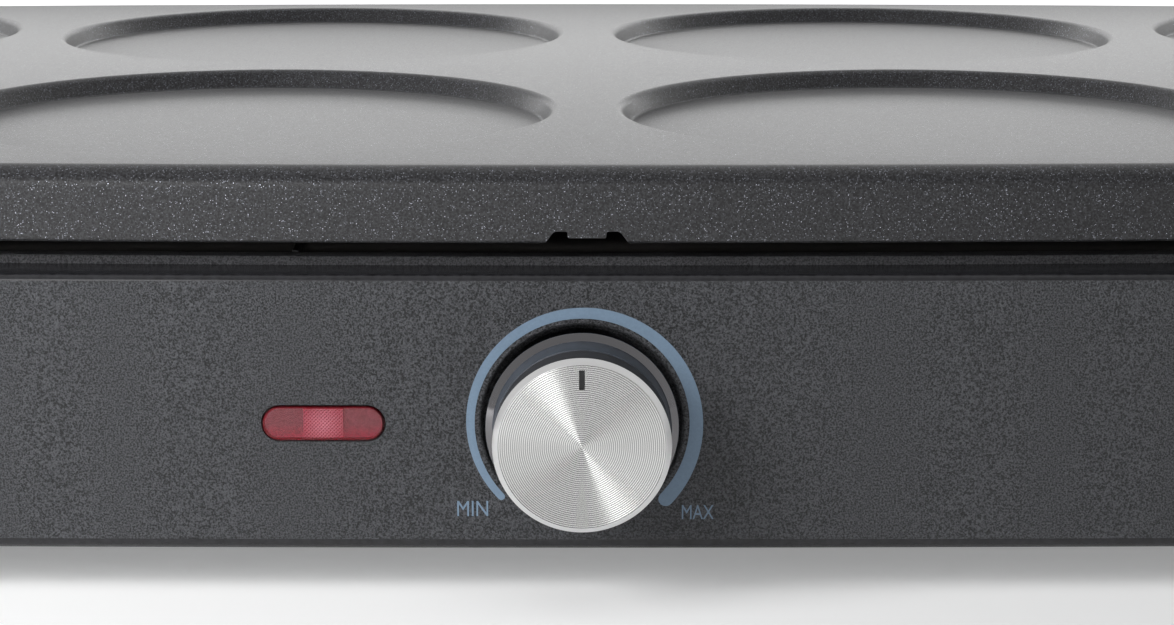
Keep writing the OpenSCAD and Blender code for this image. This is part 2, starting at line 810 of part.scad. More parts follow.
module lamp_holder() color([0.85, 0.85, 0.83]) at_lens() {
    back = holder_y + holder.y;
    half = holder / 2;
    hollow = half - [holder_t, holder_t, holder_t];
    difference() {
        box([-half.x, holder_y, -half.z], [half.x, back, half.z]);
        box([-hollow.x, holder_y - over, -hollow.z], [hollow.x, back - holder_t, hollow.z]);
        for (s = [-1, 1])
            translate([4 * s, 0, 0]) rod_y(1.2, back - holder_t - over, back + over);
    }
    for (s = [-1, 1]) translate([s * cradle_x, 0, 0]) difference() {
        box([-holder_t / 2, lamp_y - 1.5, -hollow.z - 0.2],
            [holder_t / 2, back - holder_t + 0.2, hollow.z + 0.2]);
        translate([0, lamp_y, 0]) rod_x(lamp_r + fit, -over, over);
        box([-over, lamp_y - 3, -1.9], [over, lamp_y, 1.9]);
    }
}

module neon_lamp() color([0.95, 0.75, 0.6, 0.7]) at_lens() translate([0, lamp_y, 0]) {
    rod_x(lamp_r, -7, 6);
    translate([6, 0, 0]) rotate([0, 90, 0]) cylinder(r1 = lamp_r, r2 = 0.8, h = 2.4, $fn = 48);
}

// --- Wiring ---

module at_block() {
    at_body() translate([block_at.x, block_at.y, base_top]) children();
}

module terminal_block() color([0.9, 0.89, 0.85]) at_block() difference() {
    box([-block.x / 2, -block.y / 2, 0], [block.x / 2, block.y / 2, block.z]);
    for (i = [-1, 0, 1]) translate([i * block_ways, 0, 0]) {
        translate([0, 0, entry_z - base_top])
            rod_y(block_hole_r, -block.y / 2 - over, block.y / 2 + over);
        rod(block_screw_r + fit, entry_z - base_top, block.z + over);
    }
    for (i = [-1, 1])
        box([i * block_ways / 2 - 0.6, -block.y / 2 - over, block.z - 3],
            [i * block_ways / 2 + 0.6, block.y / 2 + over, block.z + over]);
}

module terminal_screws() color([0.8, 0.68, 0.36]) at_block()
    for (i = [-1, 0, 1]) translate([i * block_ways, 0, 0]) difference() {
        rod(block_screw_r, entry_z - base_top + 2.2, block.z - 0.8);
        translate([0, 0, block.z]) cube([5, 0.6, 2.6], center = true);
    }

module thermal_fuse() color([0.92, 0.9, 0.84]) at_body()
    translate([fuse_at.x, fuse_at.y, fuse_z]) rod_x(fuse_r, -fuse_l / 2, fuse_l / 2);

module fuse_clip() color([0.66, 0.66, 0.65]) at_body()
    translate([fuse_at.x, fuse_at.y, fuse_z]) {
        difference() {
            rod_x(fuse_r + 0.7, -3, 3);
            rod_x(fuse_r + fit, -3 - over, 3 + over);
        }
        box([-3, -1.5, fuse_r + 0.4], [3, 1.5, tray_z - fuse_z]);
    }

module live_lead() color([0.42, 0.22, 0.12]) at_body()
    tube(smooth([
        [block_at.x, block_at.y - 4, entry_z],
        [block_at.x, block_at.y - 13, entry_z],
        [116, 92, wire_z],
        [84, 52, wire_z],
        [30, 0, wire_z],
        [-4, -50, wire_z],
        [-10, -90, wire_z],
        [dial_x - tab_x, tab_y + blade.y + 0.4, tab_z]
    ], 3), lead_r);

module neutral_lead() color([0.12, 0.25, 0.6]) at_body()
    tube(smooth([
        [block_at.x + block_ways, block_at.y - 4, entry_z],
        [block_at.x + block_ways, block_at.y - 13, entry_z],
        [138, 96, wire_z],
        [162, run_y, wire_z],
        [leg_x - 12, run_y, pin_end + 1.7],
        [leg_x - 1.6, run_y, pin_end + 1.7]
    ], 3), lead_r);

module earth_lead() color([0.35, 0.6, 0.2]) at_body()
    tube(smooth([
        [block_at.x - block_ways, block_at.y - 4, entry_z],
        [block_at.x - block_ways, block_at.y - 13, entry_z],
        [103, 96, low_z + 1],
        [earth_at.x + 4.2, earth_at.y, low_z]
    ], 3), lead_r);

module fuse_leads() color([0.55, 0.3, 0.16]) at_body() {
    tube(smooth([
        [dial_x + tab_x, tab_y + blade.y + 0.4, tab_z],
        [dial_x + tab_x + 2, -100, wire_z],
        [28, -76, wire_z + 1],
        [44, fuse_at.y, fuse_z],
        [fuse_at.x - fuse_l / 2 - 0.3, fuse_at.y, fuse_z]
    ], 3), lead_r);
    tube(smooth([
        [fuse_at.x + fuse_l / 2 + 0.3, fuse_at.y, fuse_z],
        [78, fuse_at.y, fuse_z - 0.5],
        [120, -72, wire_z],
        [168, -run_y, wire_z],
        [leg_x - 12, -run_y, pin_end + 1.7],
        [leg_x - 1.6, -run_y, pin_end + 1.7]
    ], 3), lead_r);
}

module lamp_leads() color([0.8, 0.8, 0.78]) at_body() {
    tube(smooth([
        [lens_x + 4, holder_y + holder.y + play, dial_z],
        [-32, -117, dial_z - 9],
        [-18, thermo_y + 3, low_z + 1.5],
        [0, thermo_y + 2.5, low_z + 1.5],
        [dial_x + tab_x, tab_y - 0.6, tab_z]
    ], 3), lamp_lead_r);
    tube(smooth([
        [lens_x - 4, holder_y + holder.y + play, dial_z],
        [-50, -110, dial_z - 9],
        [-48, -88, low_z],
        [-20, -40, low_z],
        [60, 24, low_z],
        [116, 68, low_z],
        [132, 96, low_z],
        [block_at.x + block_ways, block_at.y - block.y / 2 - 0.3, low_z]
    ], 3), lamp_lead_r);
}

module earth_screw() color([0.8, 0.68, 0.36]) at_body() translate(earth_at) {
    translate([0, 0, base_z]) screw(ground_screw);
    translate([0, 0, base_top]) difference() {
        cylinder(r = 3.8, h = 3, $fn = 6);
        translate([0, 0, -over]) cylinder(r = 2, h = 5, $fn = 48);
    }
}

// --- Handles, feet and screws ---

module grip_section() {
    rotate(90) stadium(grip_h, grip_w);
}

// The right-hand handle; the left-hand one mirrors it
module handle() {
    leg_y = handle_span / 2;
    straight = 2 * (leg_y - grip_bend);
    difference() {
        translate([0, 0, handle_z]) {
            translate([grip_x, 0, 0]) rotate([90, 0, 0])
                linear_extrude(straight, center = true) grip_section();
            for (s = [0, 1]) mirror([0, s, 0]) {
                translate([grip_x - grip_bend, leg_y - grip_bend, 0])
                    rotate_extrude(angle = 90, $fn = 96)
                        translate([grip_bend, 0]) grip_section();
                translate([handle_x, leg_y, 0]) rotate([90, 0, 90])
                    linear_extrude(grip_x - grip_bend - handle_x) grip_section();
                translate([0, leg_y, 0]) rod_x(flange_r, handle_x, handle_x + flange_l);
            }
        }
        for (s = [-1, 1]) translate([0, s * leg_y, handle_z])
            rod_x(handle_screw[0] + screw_play, handle_x - over,
                pad_in + handle_screw[1] + over);
    }
}

module side_handle_right() color([0.14, 0.14, 0.15]) at_body() handle();

module side_handle_left() color([0.14, 0.14, 0.15]) at_body()
    mirror([1, 0, 0]) handle();

module handle_screws() color([0.75, 0.74, 0.7]) at_body()
    four_ways() translate([pad_in, handle_span / 2, handle_z]) rotate([0, 90, 0])
        screw(handle_screw);

module rubber_feet() color([0.09, 0.09, 0.09]) at_body()
    four_ways() translate(foot_at) {
        barb_z = base_top + 1.4;
        rotate_extrude($fn = 96) polygon([
            [0, 0], [sole_d / 2, 0], [sole_d / 2 + 1, 1], [foot_d / 2, base_z - 0.8],
            [foot_d / 2 - 0.6, base_z], [0, base_z]
        ]);
        rod(foot_hole_r - fit, base_z - over, base_top + over);
        rod(foot_hole_r + 1.2, base_top, barb_z);
        translate([0, 0, barb_z])
            cylinder(r1 = foot_hole_r + 1.2, r2 = foot_hole_r - 0.6, h = 1.8, $fn = 48);
    }

module base_screws() color([0.75, 0.74, 0.7]) at_body()
    four_ways() translate([body_post.x, body_post.y, base_z]) screw(base_screw);

module frame_screws() color([0.75, 0.74, 0.7]) at_body()
    four_ways() for (at = frame_posts) translate([at.x, at.y, base_z]) screw(frame_screw);

module tray_screws() color([0.75, 0.74, 0.7]) at_body()
    four_ways() for (at = tray_screw_at) translate([at.x, at.y, tray_shelf])
        rotate([180, 0, 0]) screw(tray_screw);

// --- Dial ---

// Turned shapes stand out from the panel: x is the radius, y the reach
module turned() {
    at_dial() translate([0, front_y, 0]) rotate([90, 0, 0])
        rotate_extrude($fn = 128) children();
}

module knob() color([0.1, 0.1, 0.11]) {
    front = dial_reach - face_t;
    skirt_r = dial_skirt_d / 2;
    inner_r = skirt_r - knob_wall;
    bore_r = barrel_r - knob_wall;
    difference() {
        turned() polygon([
            [0, -knob_sink], [skirt_r, -knob_sink], [skirt_r, knob_skirt_l],
            [knob_neck[0], knob_neck[1]], [barrel_r, knob_neck[2]], [barrel_r, front], [0, front]
        ]);
        turned() polygon([
            [hub_r, -knob_sink - over], [inner_r, -knob_sink - over],
            [inner_r, knob_skirt_l - 1], [bore_r, knob_neck[1] - 0.5],
            [bore_r, front - knob_wall], [hub_r, front - knob_wall]
        ]);
        at_dial() intersection() {
            rod_y(shaft_r + fit, front_y - shaft_out - play, front_y + knob_sink + over);
            box([-shaft_r - over, front_y - dial_reach, -shaft_r - over],
                [shaft_r + over, front_y + dial_reach, shaft_flat + fit]);
        }
    }
    at_dial() translate([0, front_y - front, pointer_up])
        box([-pointer.x / 2, -pointer.z, -pointer.y / 2], [pointer.x / 2, 0.5, pointer.y / 2]);
}

module knob_face() color([0.75, 0.75, 0.76]) difference() {
    r = dial_face_d / 2;
    turned() polygon([
        [0, dial_reach - face_t], [r, dial_reach - face_t], [r, dial_reach - face_bevel[1]],
        [r - face_bevel[0], dial_reach], [0, dial_reach]
    ]);
    half = pointer / 2 + [pointer_play, pointer_play, 0];
    at_dial() translate([0, front_y - dial_reach, pointer_up])
        box([-half.x, -over, -half.y], [half.x, face_t + over, half.y]);
}

module knob_clip() color([0.6, 0.62, 0.66]) at_dial() difference() {
    rod_y(hub_r + 0.65, front_y - 3, front_y + 1);
    rod_y(hub_r + fit, front_y - 4, front_y + 2);
    box([-3.4, front_y - 4, -hub_r - 2], [3.4, front_y + 2, -hub_r / 2]);
}

// --- Cooking plate ---

// The space of one well, cut down from the plate's top
module well_cut() {
    fillet = well_depth - well_rim_r;
    rotate_extrude($fn = 128) {
        translate([0, -well_depth]) square([well_r - fillet, well_depth + over]);
        translate([well_r - fillet, fillet - well_depth]) {
            square([fillet, well_rim_r + over]);
            mirror([0, 1]) quarter_disc(fillet);
        }
        translate([well_r, -well_rim_r]) difference() {
            square([well_rim_r, well_rim_r + over]);
            translate([well_rim_r, 0]) circle(well_rim_r, $fn = 48);
        }
    }
}

module at_wells() {
    for (i = [0:columns - 1], j = [0:rows - 1])
        translate([(i - (columns - 1) / 2) * well_pitch, (j - (rows - 1) / 2) * well_pitch, 0])
            children();
}

// The notch in the front of the skirt and the tab that hangs in it
module notch_cut() {
    half = notch_w / 2;
    top_half = half - 1.55;
    tab_h = 0.55 * notch_h;
    translate([0, -plate_o[1] / 2 - over, skirt_z]) rotate([-90, 0, 0]) mirror([0, 1])
        linear_extrude(skirt_t + 2 * over) difference() {
            polygon([[-half, -over], [half, -over], [half, 0], [top_half, notch_h],
                     [-top_half, notch_h], [-half, 0]]);
            translate([0, notch_h]) {
                square([tab_w - tab_h, 2 * tab_h], center = true);
                for (s = [-1, 1]) translate([s * (tab_w - tab_h) / 2, 0])
                    scale([0.5, 1]) circle(tab_h, $fn = 48);
            }
        }
}

// Ribs under the plate, between its rows and columns of wells
module casting_ribs() {
    intersection() {
        union() {
            box([-plate_o[0] / 2, -rib_t / 2, boss_under], [plate_o[0] / 2, rib_t / 2, plate_top]);
            for (i = [1:columns - 1]) translate([(i - columns / 2) * well_pitch, 0, 0])
                box([-rib_t / 2, -plate_o[1] / 2, boss_under],
                    [rib_t / 2, plate_o[1] / 2, plate_top]);
        }
        slab(inset(plate_o, skirt_t / 2), boss_under, plate_under + over - boss_under);
    }
}

module cooking_plate() color([0.3, 0.3, 0.31]) at_body() difference() {
    union() {
        difference() {
            rounded_slab(plate_o, skirt_z, plate_h, plate_edge_r, skirt_edge_r);
            slab(inset(plate_o, skirt_t), skirt_z - over, plate_h - plate_t + over);
        }
        at_wells() rod(well_r + 2, boss_under, plate_under + over);
        casting_ribs();
        rod(12, plate_under - pad_h, plate_under + over);
        four_ways() translate(plate_foot) {
            rod(6, tray_shelf + 0.1, plate_under + over);
            rod(spigot_r, tray_shelf - spigot_l, tray_shelf + over);
        }
    }
    translate([0, 0, plate_top]) at_wells() well_cut();
    notch_cut();
}

housing();
top_frame();
base_plate();
reflector_tray();
heating_element();
element_supports();
terminal_insulators();
element_terminals();
thermostat_body();
thermostat_bracket();
thermostat_screws();
capillary_tube();
sensor_bulb();
bulb_clip();
indicator_lens();
neon_lamp();
lamp_holder();
terminal_block();
terminal_screws();
thermal_fuse();
fuse_clip();
live_lead();
neutral_lead();
fuse_leads();
earth_lead();
lamp_leads();
earth_screw();
cable_gland();
side_handle_left();
side_handle_right();
handle_screws();
rubber_feet();
base_screws();
frame_screws();
tray_screws();
rail_rivets();
thermostat_shaft();
knob();
knob_face();
knob_clip();
cooking_plate();
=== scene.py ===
"""Looks of an electric crepe maker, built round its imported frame.

The cast plate, the housing, the lip, the dial and the pilot lens get finer meshes on
the frame's own sizes; the other nodes keep their shape and get their finish here.
Lengths are in millimetres until a mesh is made. The floor and the lights are in metres.
"""

import json
import math
from collections import namedtuple

import bmesh
import bpy
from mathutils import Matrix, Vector


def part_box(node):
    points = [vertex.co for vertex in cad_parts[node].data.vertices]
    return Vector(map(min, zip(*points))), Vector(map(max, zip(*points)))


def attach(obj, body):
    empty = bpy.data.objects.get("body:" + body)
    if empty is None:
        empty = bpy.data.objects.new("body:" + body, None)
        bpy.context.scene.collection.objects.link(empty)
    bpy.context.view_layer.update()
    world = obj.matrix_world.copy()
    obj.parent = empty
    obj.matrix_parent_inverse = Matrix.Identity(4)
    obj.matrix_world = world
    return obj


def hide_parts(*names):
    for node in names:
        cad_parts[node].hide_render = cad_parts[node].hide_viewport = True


MM = 0.001
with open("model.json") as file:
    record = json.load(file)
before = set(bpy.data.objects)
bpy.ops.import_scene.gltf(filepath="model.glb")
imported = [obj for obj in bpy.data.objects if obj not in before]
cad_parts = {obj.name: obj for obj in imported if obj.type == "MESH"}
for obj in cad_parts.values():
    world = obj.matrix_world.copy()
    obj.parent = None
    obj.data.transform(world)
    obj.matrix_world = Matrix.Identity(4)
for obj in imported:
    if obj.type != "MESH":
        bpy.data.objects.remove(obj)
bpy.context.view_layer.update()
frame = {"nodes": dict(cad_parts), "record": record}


# --- Sizes ---

def span(node):
    """Lowest and highest corner of a frame node, in millimetres."""
    low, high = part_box(node)
    return low / MM, high / MM


def middle(low, high):
    """The middle of a box as seen from the front, at depth 0."""
    return Vector(((low.x + high.x) / 2, 0, (low.z + high.z) / 2))


housing_low, housing_high = span("housing")
plate_low, plate_high = span("cooking_plate")
face_low, face_high = span("knob_face")

OVER = 1    # how far a cut runs past its face, or a join into it
FIT = 0.3   # clearance between fixed pieces

# Heights, thicknesses and roundings of the plate and the housing
BODY_Y = (plate_low.y + plate_high.y) / 2
BODY_Z = housing_low.z
BODY_TOP = housing_high.z
LIP_TOP = span("top_frame")[1].z
PLATE_TOP = plate_high.z
PLATE_H, PLATE_T, SKIRT_T = 12.5, 4.0, 3.5
SKIRT_Z = PLATE_TOP - PLATE_H
PLATE_UNDER = PLATE_TOP - PLATE_T
EDGE_R, SKIRT_EDGE_R = 3.5, 0.6
WALL = 2.5
BODY_EDGE_R, BODY_LOW_R = 1.2, 2.0
BODY_LEAD = 2

# A level outline with bowed sides: the radii of its long sides, its ends and its corners
Slab = namedtuple("Slab", "length depth bow end_bow corner")
PLATE = Slab(plate_high.x - plate_low.x, plate_high.y - plate_low.y, 2200, 900, 30)
BODY = Slab(PLATE.length + 2 * BODY_LEAD, PLATE.depth + 2 * BODY_LEAD, 6000, 900, 42)
SMALLEST_CORNER = 3
FRONT_Y = BODY_Y - BODY.depth / 2

# Wells
WELL_PITCH = 128.0
COLUMNS, ROWS = 4, 2
WELL_R = 57.5
WELL_DEPTH = 3.55
WELL_SLOPE = math.radians(66)
RIM_R, FOOT_R = 1.7, 0.7
RIM_LEAD = 1.2
FLOOR_T = 3.5
FLOOR_Z = PLATE_TOP - WELL_DEPTH
BOSS_R, BOSS_Z = WELL_R + 2, FLOOR_Z - FLOOR_T

# Notch and tab in the front skirt, feet and ribs under the plate
NOTCH_W, NOTCH_H, NOTCH_SLOPE = 13.65, 2.0, 1.55
TAB_W, TAB_H, TAB_SOFT = 6.35, 1.1, 0.35
SPIGOT_R, PLATE_FOOT_R, PLATE_FOOT_OUT = 3.5, 6, 5.5
PAD_R, PAD_H = 12, 8
RIB_T = 3

# Frame under the plate: its lip, wall and flange, and the tray's edge that lies on it
LIP_BACK, LIP_SOFT = 6.5, 0.25
LEDGE_LAP = 1.2
PLATE_GAP = 3.4
TRAY_BACK, TRAY_T = 22, 0.8
FLANGE_Z, FLANGE_T = 40.3, 2.5
FRAME_SHELF = FLANGE_Z + FLANGE_T
TRAY_SHELF = FRAME_SHELF + TRAY_T

# Dial: lengths along its axis are reaches in front of the panel
DIAL = middle(face_low, face_high)
DIAL_REACH = FRONT_Y - face_low.y
FACE_R, FACE_T = (face_high.x - face_low.x) / 2, 1.0
FACE_BACK = DIAL_REACH - FACE_T
FACE_RIM = 0.9
RIM_CUT = 0.88
GROOVES = 40
GROOVE_TILT = math.radians(9)
GROOVE = (FACE_R - FACE_RIM - 0.1) / GROOVES
POINTER_W, POINTER_H, POINTER_R = 0.8, 3.0, 0.06
POINTER_UP = 11.0
BARREL_R = FACE_R - 0.2
BARREL_STEP = 0.12
COLLAR_R, COLLAR_L, COLLAR_SOFT = 15.9, 2.6, 0.25
COLLAR_SINK = 1.5
NECK_R, NECK_START, NECK_END = 14.6, 3.6, 8.0
DISH_R, DISH_DEPTH = 16.5, 2.5
DISH_EDGE_R, DISH_FOOT = 0.8, 0.3
DISH_WALL = 2
SHAFT_HOLE_R = 5

# Pilot lens, with its prisms, and the seat of the cord's bush
LENS = middle(*span("indicator_lens"))
LENS_W, LENS_H = 20.0, 5.6
LENS_EDGE_R, LENS_PROUD, LENS_SKIN_T = 0.35, 0.4, 0.5
LENS_Y = FRONT_Y - LENS_PROUD
LENS_FLANGE_W, LENS_FLANGE_T = 2.5, 1.2
PRISM_Y = LENS_Y + LENS_SKIN_T
PRISM_PITCH, PRISM_DEPTH = 0.62, 0.55
PRISMS_W, PRISMS_T = 6.6, 1.05
GLAND = middle(*span("cable_gland"))
GLAND_NECK, GLAND_FIT, GLAND_SOFT = 10.4, 0.05, 0.3


def placed(name, data):
    """A new object in the scene."""
    obj = bpy.data.objects.new(name, data)
    bpy.context.scene.collection.objects.link(obj)
    return obj


# --- Camera ---

PHOTO_W = 1174
FOCAL_PX = 2684
EYE_BACK, EYE_UP = 565.6, 69.5
EYE_TILT = math.radians(12.25)

camera_data = bpy.data.cameras.new("camera")
camera_data.sensor_width = 36
camera_data.sensor_fit = "HORIZONTAL"
camera_data.lens = FOCAL_PX / PHOTO_W * camera_data.sensor_width
camera_data.clip_start = 0.02
camera = placed("camera", camera_data)
camera.location = Vector((0, BODY_Y - EYE_BACK, PLATE_TOP + EYE_UP)) * MM
camera.rotation_euler = (math.pi / 2 - EYE_TILT, 0, 0)
bpy.context.scene.camera = camera


# --- Materials ---

class Nodes:
    """A node tree with short ways to add nodes and to feed their sockets."""

    def __init__(self, tree, place):
        self.tree = tree
        self.place = self.add("ShaderNodeTexCoord").outputs[place]

    def add(self, kind, **settings):
        """A new node. Each setting is one of its properties or, failing that, a socket."""
        node = self.tree.nodes.new(kind)
        for key, value in settings.items():
            if hasattr(node, key):
                setattr(node, key, value)
            else:
                node.inputs[key].default_value = value
        return node

    def put(self, node, socket, value):
        """Feeds a socket from another node's output or sets it to a fixed value."""
        if isinstance(value, bpy.types.NodeSocket):
            self.tree.links.new(value, node.inputs[socket])
        else:
            node.inputs[socket].default_value = value

    def along(self, axis):
        """The place along one axis."""
        split = self.add("ShaderNodeSeparateXYZ")
        self.put(split, 0, self.place)
        return split.outputs[axis]

    def ramp(self, value, low, high, start=0.0, end=1.0):
        """Runs from start to end while the value runs from low to high."""
        node = self.add("ShaderNodeMapRange")
        self.put(node, "Value", value)
        limits = zip(("From Min", "From Max", "To Min", "To Max"), (low, high, start, end))
        for socket, limit in limits:
            self.put(node, socket, limit)
        return node.outputs["Result"]

    def math(self, operation, a, b=0):
        """A sum, product or the like of two values."""
        node = self.add("ShaderNodeMath", operation=operation)
        self.put(node, 0, a)
        self.put(node, 1, b)
        return node.outputs["Value"]

    def vector(self, operation, a, b=(0, 0, 0), result="Vector"):
        """The same for vectors; the result is a Vector or, for a length, a Value."""
        node = self.add("ShaderNodeVectorMath", operation=operation)
        self.put(node, 0, a)
        self.put(node, 1, b)
        return node.outputs[result]


class Surface(Nodes):
    """A material with one Principled shader, placed by the object's own axes."""

    def __init__(self, name, color, roughness, metallic=0.0, **sockets):
        self.material = bpy.data.materials.new(name)
        self.material.use_nodes = True
        super().__init__(self.material.node_tree, "Object")
        self.shader = self.tree.nodes["Principled BSDF"]
        self.shader.inputs["Base Color"].default_value = (*color, 1)
        self.shader.inputs["Roughness"].default_value = roughness
        self.shader.inputs["Metallic"].default_value = metallic
        for socket, value in sockets.items():
            self.shader.inputs[socket.replace("_", " ")].default_value = value

    def noise(self, size_mm, detail=2.0, roughness=0.5, stretch=None):
        """Noise with grains of about size_mm, narrower along the stretched axes."""
        node = self.add("ShaderNodeTexNoise", Scale=1 / (size_mm * MM), Detail=detail,
                        Roughness=roughness)
        place = self.place
        if stretch:
            mapping = self.add("ShaderNodeMapping")
            self.put(mapping, "Vector", place)
            self.put(mapping, "Scale", stretch)
            place = mapping.outputs["Vector"]
        self.put(node, "Vector", place)
        return node.outputs["Fac"]

    def cells(self, size_mm):
        """Voronoi cells of about size_mm: their distance field and a random grey each."""
        node = self.add("ShaderNodeTexVoronoi", Scale=1 / (size_mm * MM))
        self.put(node, "Vector", self.place)
        split = self.add("ShaderNodeSeparateColor")
        self.put(split, "Color", node.outputs["Color"])
        return node.outputs["Distance"], split.outputs["Red"]

    def rings(self, centre, pitch_mm):
        """A wave from 1 to 0 and back over each ring of pitch_mm round an axis along Y."""
        flat = self.vector("MULTIPLY", self.vector("SUBTRACT", self.place, centre * MM), (1, 0, 1))
        radius = self.vector("LENGTH", flat, result="Value")
        turns = self.math("FRACT", self.math("DIVIDE", radius, pitch_mm * MM))
        half = self.math("ABSOLUTE", self.math("SUBTRACT", turns, 0.5))
        return self.math("MULTIPLY", half, 2)

    def mix(self, factor, color_a, color_b):
        """Color a where the factor is 0 and color b where it is 1."""
        node = self.add("ShaderNodeMix", data_type="RGBA")
        self.put(node, "Factor", factor)
        for socket, color in ((6, color_a), (7, color_b)):
            self.put(node, socket, (*color, 1) if isinstance(color, tuple) else color)
        return node.outputs[2]

    def feed(self, socket, value):
        """Feeds one of the shader's own sockets."""
        self.put(self.shader, socket, value)

    def bump(self, height, depth_mm, strength=1.0):
        """Raises the surface by up to depth_mm where the height is 1."""
        node = self.add("ShaderNodeBump", Strength=strength, Distance=depth_mm * MM)
        self.put(node, "Height", height)
        self.feed("Normal", node.outputs["Normal"])


def scaled(color, factor):
    """A lighter or darker copy of a color."""
    return tuple(min(1.0, channel * factor) for channel in color)


def coating():
    """Dark non-stick coating with fine light flecks, and a dusty sheen at a low angle."""
    s = Surface("plate_coating", (0.05, 0.05, 0.053), 0.36, Specular_IOR_Level=0.55,
                Sheen_Weight=0.2, Sheen_Roughness=0.35)
    grain = s.ramp(s.noise(0.35), 0.4, 0.62)
    dark = s.mix(grain, (0.006, 0.006, 0.007), (0.036, 0.036, 0.04))
    distance, grey = s.cells(0.19)
    fleck = s.math("MULTIPLY", s.ramp(grey, 0.86, 1.0), s.ramp(distance, 0.5, 0.25))
    s.feed("Base Color", s.mix(fleck, dark, (0.62, 0.65, 0.74)))
    s.feed("Metallic", fleck)
    matt = s.ramp(s.noise(0.5, detail=3), 0.3, 0.7, 0.32, 0.4)
    s.feed("Roughness", s.math("SUBTRACT", matt, s.math("MULTIPLY", fleck, 0.2)))
    s.bump(s.noise(0.28, detail=3), 0.01, strength=0.4)
    return s.material


def moulded(name, color, roughness, grain_mm=0.0, depth_mm=0.02, contrast=0.3):
    """Moulded plastic with a spark-eroded grain, or smooth with a faint flow mottle."""
    s = Surface(name, color, roughness)
    flow_mm = 1.5
    grain = s.noise(grain_mm or flow_mm, detail=3, roughness=0.6)
    spread = 0.1 if grain_mm else 0.18
    dark, light = scaled(color, 1 - contrast), scaled(color, 1 + contrast)
    s.feed("Base Color", s.mix(s.ramp(grain, 0.5 - spread, 0.5 + spread), dark, light))
    s.feed("Roughness", s.ramp(grain, 0.3, 0.7, roughness * 0.9, min(1, roughness * 1.1)))
    if grain_mm:
        s.bump(grain, depth_mm, strength=0.8)
    return s.material


def metal(name, color, roughness, stretch=(1, 1, 1)):
    """Metal with fine drawn or rolled marks along the axis that isn't stretched."""
    s = Surface(name, color, roughness, metallic=1.0)
    marks = s.noise(0.4, detail=3, roughness=0.6, stretch=stretch)
    s.feed("Roughness", s.ramp(marks, 0.3, 0.7, roughness * 0.8, roughness * 1.25))
    s.feed("Base Color", s.mix(marks, scaled(color, 0.9), color))
    s.bump(marks, 0.01, strength=0.3)
    return s.material


def turned_metal(name, color, roughness, anisotropic, groove_shade_color=None):
    """Metal cut on a lathe: its sheen turns round the dial's axis. Its grooves can
    get painted shade, a darker colour in rings round the axis.
    """
    s = Surface(name, color, roughness, metallic=1.0, Anisotropic=anisotropic,
                Anisotropic_Rotation=0.25)
    s.feed("Tangent", s.add("ShaderNodeTangent", direction_type="RADIAL", axis="Y").outputs[0])
    if groove_shade_color:
        # painted shade: a darker colour in the bottom of each turned groove
        groove = s.ramp(s.rings(DIAL, GROOVE), 0.35, 0.95)
        s.feed("Base Color", s.mix(groove, color, groove_shade_color))
    return s.material


def ink(name, color):
    """Printing ink that lies a little uneven on the panel's grain."""
    s = Surface(name, color, 0.5)
    worn = s.ramp(s.noise(0.35, detail=3), 0.25, 0.75)
    s.feed("Base Color", s.mix(worn, scaled(color, 0.88), color))
    s.bump(s.noise(0.3), 0.01, strength=0.4)
    return s.material


def red_cover():
    """The lens's clear red skin, which shows the prisms behind it."""
    s = Surface("red_lens", (0.5, 0.02, 0.04), 0.12, Alpha=0.3, Coat_Weight=1.0,
                Coat_Roughness=0.04)
    s.feed("Roughness", s.ramp(s.noise(1.0), 0.3, 0.7, 0.08, 0.18))
    return s.material


def red_prisms():
    """Prisms with painted light: lighter tips, darker valleys, and a painted glow that
    is brightest in the middle of the lens.
    """
    s = Surface("prism_red", (0.8, 0.3, 0.38), 0.25, Coat_Weight=0.6)
    tip, glow_r = 0.25, 3.8
    # painted highlight on the prisms' tips and painted shade in their valleys
    painted_tip_light = s.ramp(s.along("Y"), PRISM_Y * MM, (PRISM_Y + tip) * MM, 1, 0)
    middle_of_lens = Vector((LENS.x, PRISM_Y, LENS.z)) * MM
    # painted glow, brightest in the middle of the lens
    painted_middle_glow = s.ramp(s.vector("DISTANCE", s.place, middle_of_lens, "Value"), 0, glow_r * MM, 1, 0.3)
    bright = s.math("MULTIPLY", painted_tip_light, painted_middle_glow)
    s.feed("Base Color", s.mix(bright, (0.3, 0.02, 0.045), (1, 0.55, 0.66)))
    return s.material


def red_ends():
    """The plain ends behind the skin: dusky above, red below."""
    s = Surface("lens_inside", (0.2, 0.1, 0.12), 0.4, Coat_Weight=0.6)
    red_up_to, dusky_from = LENS.z - 2.2, LENS.z - 0.2
    up = s.ramp(s.along("Z"), red_up_to * MM, dusky_from * MM)
    worn = s.ramp(s.noise(0.4, detail=3), 0.35, 0.65)
    red = s.mix(worn, (0.1, 0.008, 0.025), (0.25, 0.016, 0.05))
    dusky = s.mix(worn, (0.045, 0.026, 0.034), (0.11, 0.066, 0.082))
    s.feed("Base Color", s.mix(up, red, dusky))
    s.bump(s.noise(0.35), 0.02, strength=0.4)
    return s.material


def tray_sheet():
    """Bright sheet inside the tray and near black outside, as painted shade for the dark
    gap under the plate; the sides are told apart by which way they face.
    """
    # painted shade: the outward faces are near black so that the gap under the plate stays dark
    bright, painted_shade_black = (0.78, 0.79, 0.8), (0.012, 0.012, 0.012)
    s = Surface("reflector_sheet", bright, 0.26, metallic=1.0)
    normal = s.add("ShaderNodeNewGeometry").outputs["Normal"]
    outward = s.ramp(s.vector("DOT_PRODUCT", normal, s.place, "Value"), 0.0, 0.02)
    s.feed("Base Color", s.mix(outward, bright, painted_shade_black))
    marks = s.noise(0.4, detail=3, roughness=0.6, stretch=(1, 10, 10))
    s.feed("Roughness", s.ramp(marks, 0.3, 0.7, 0.2, 0.32))
    return s.material


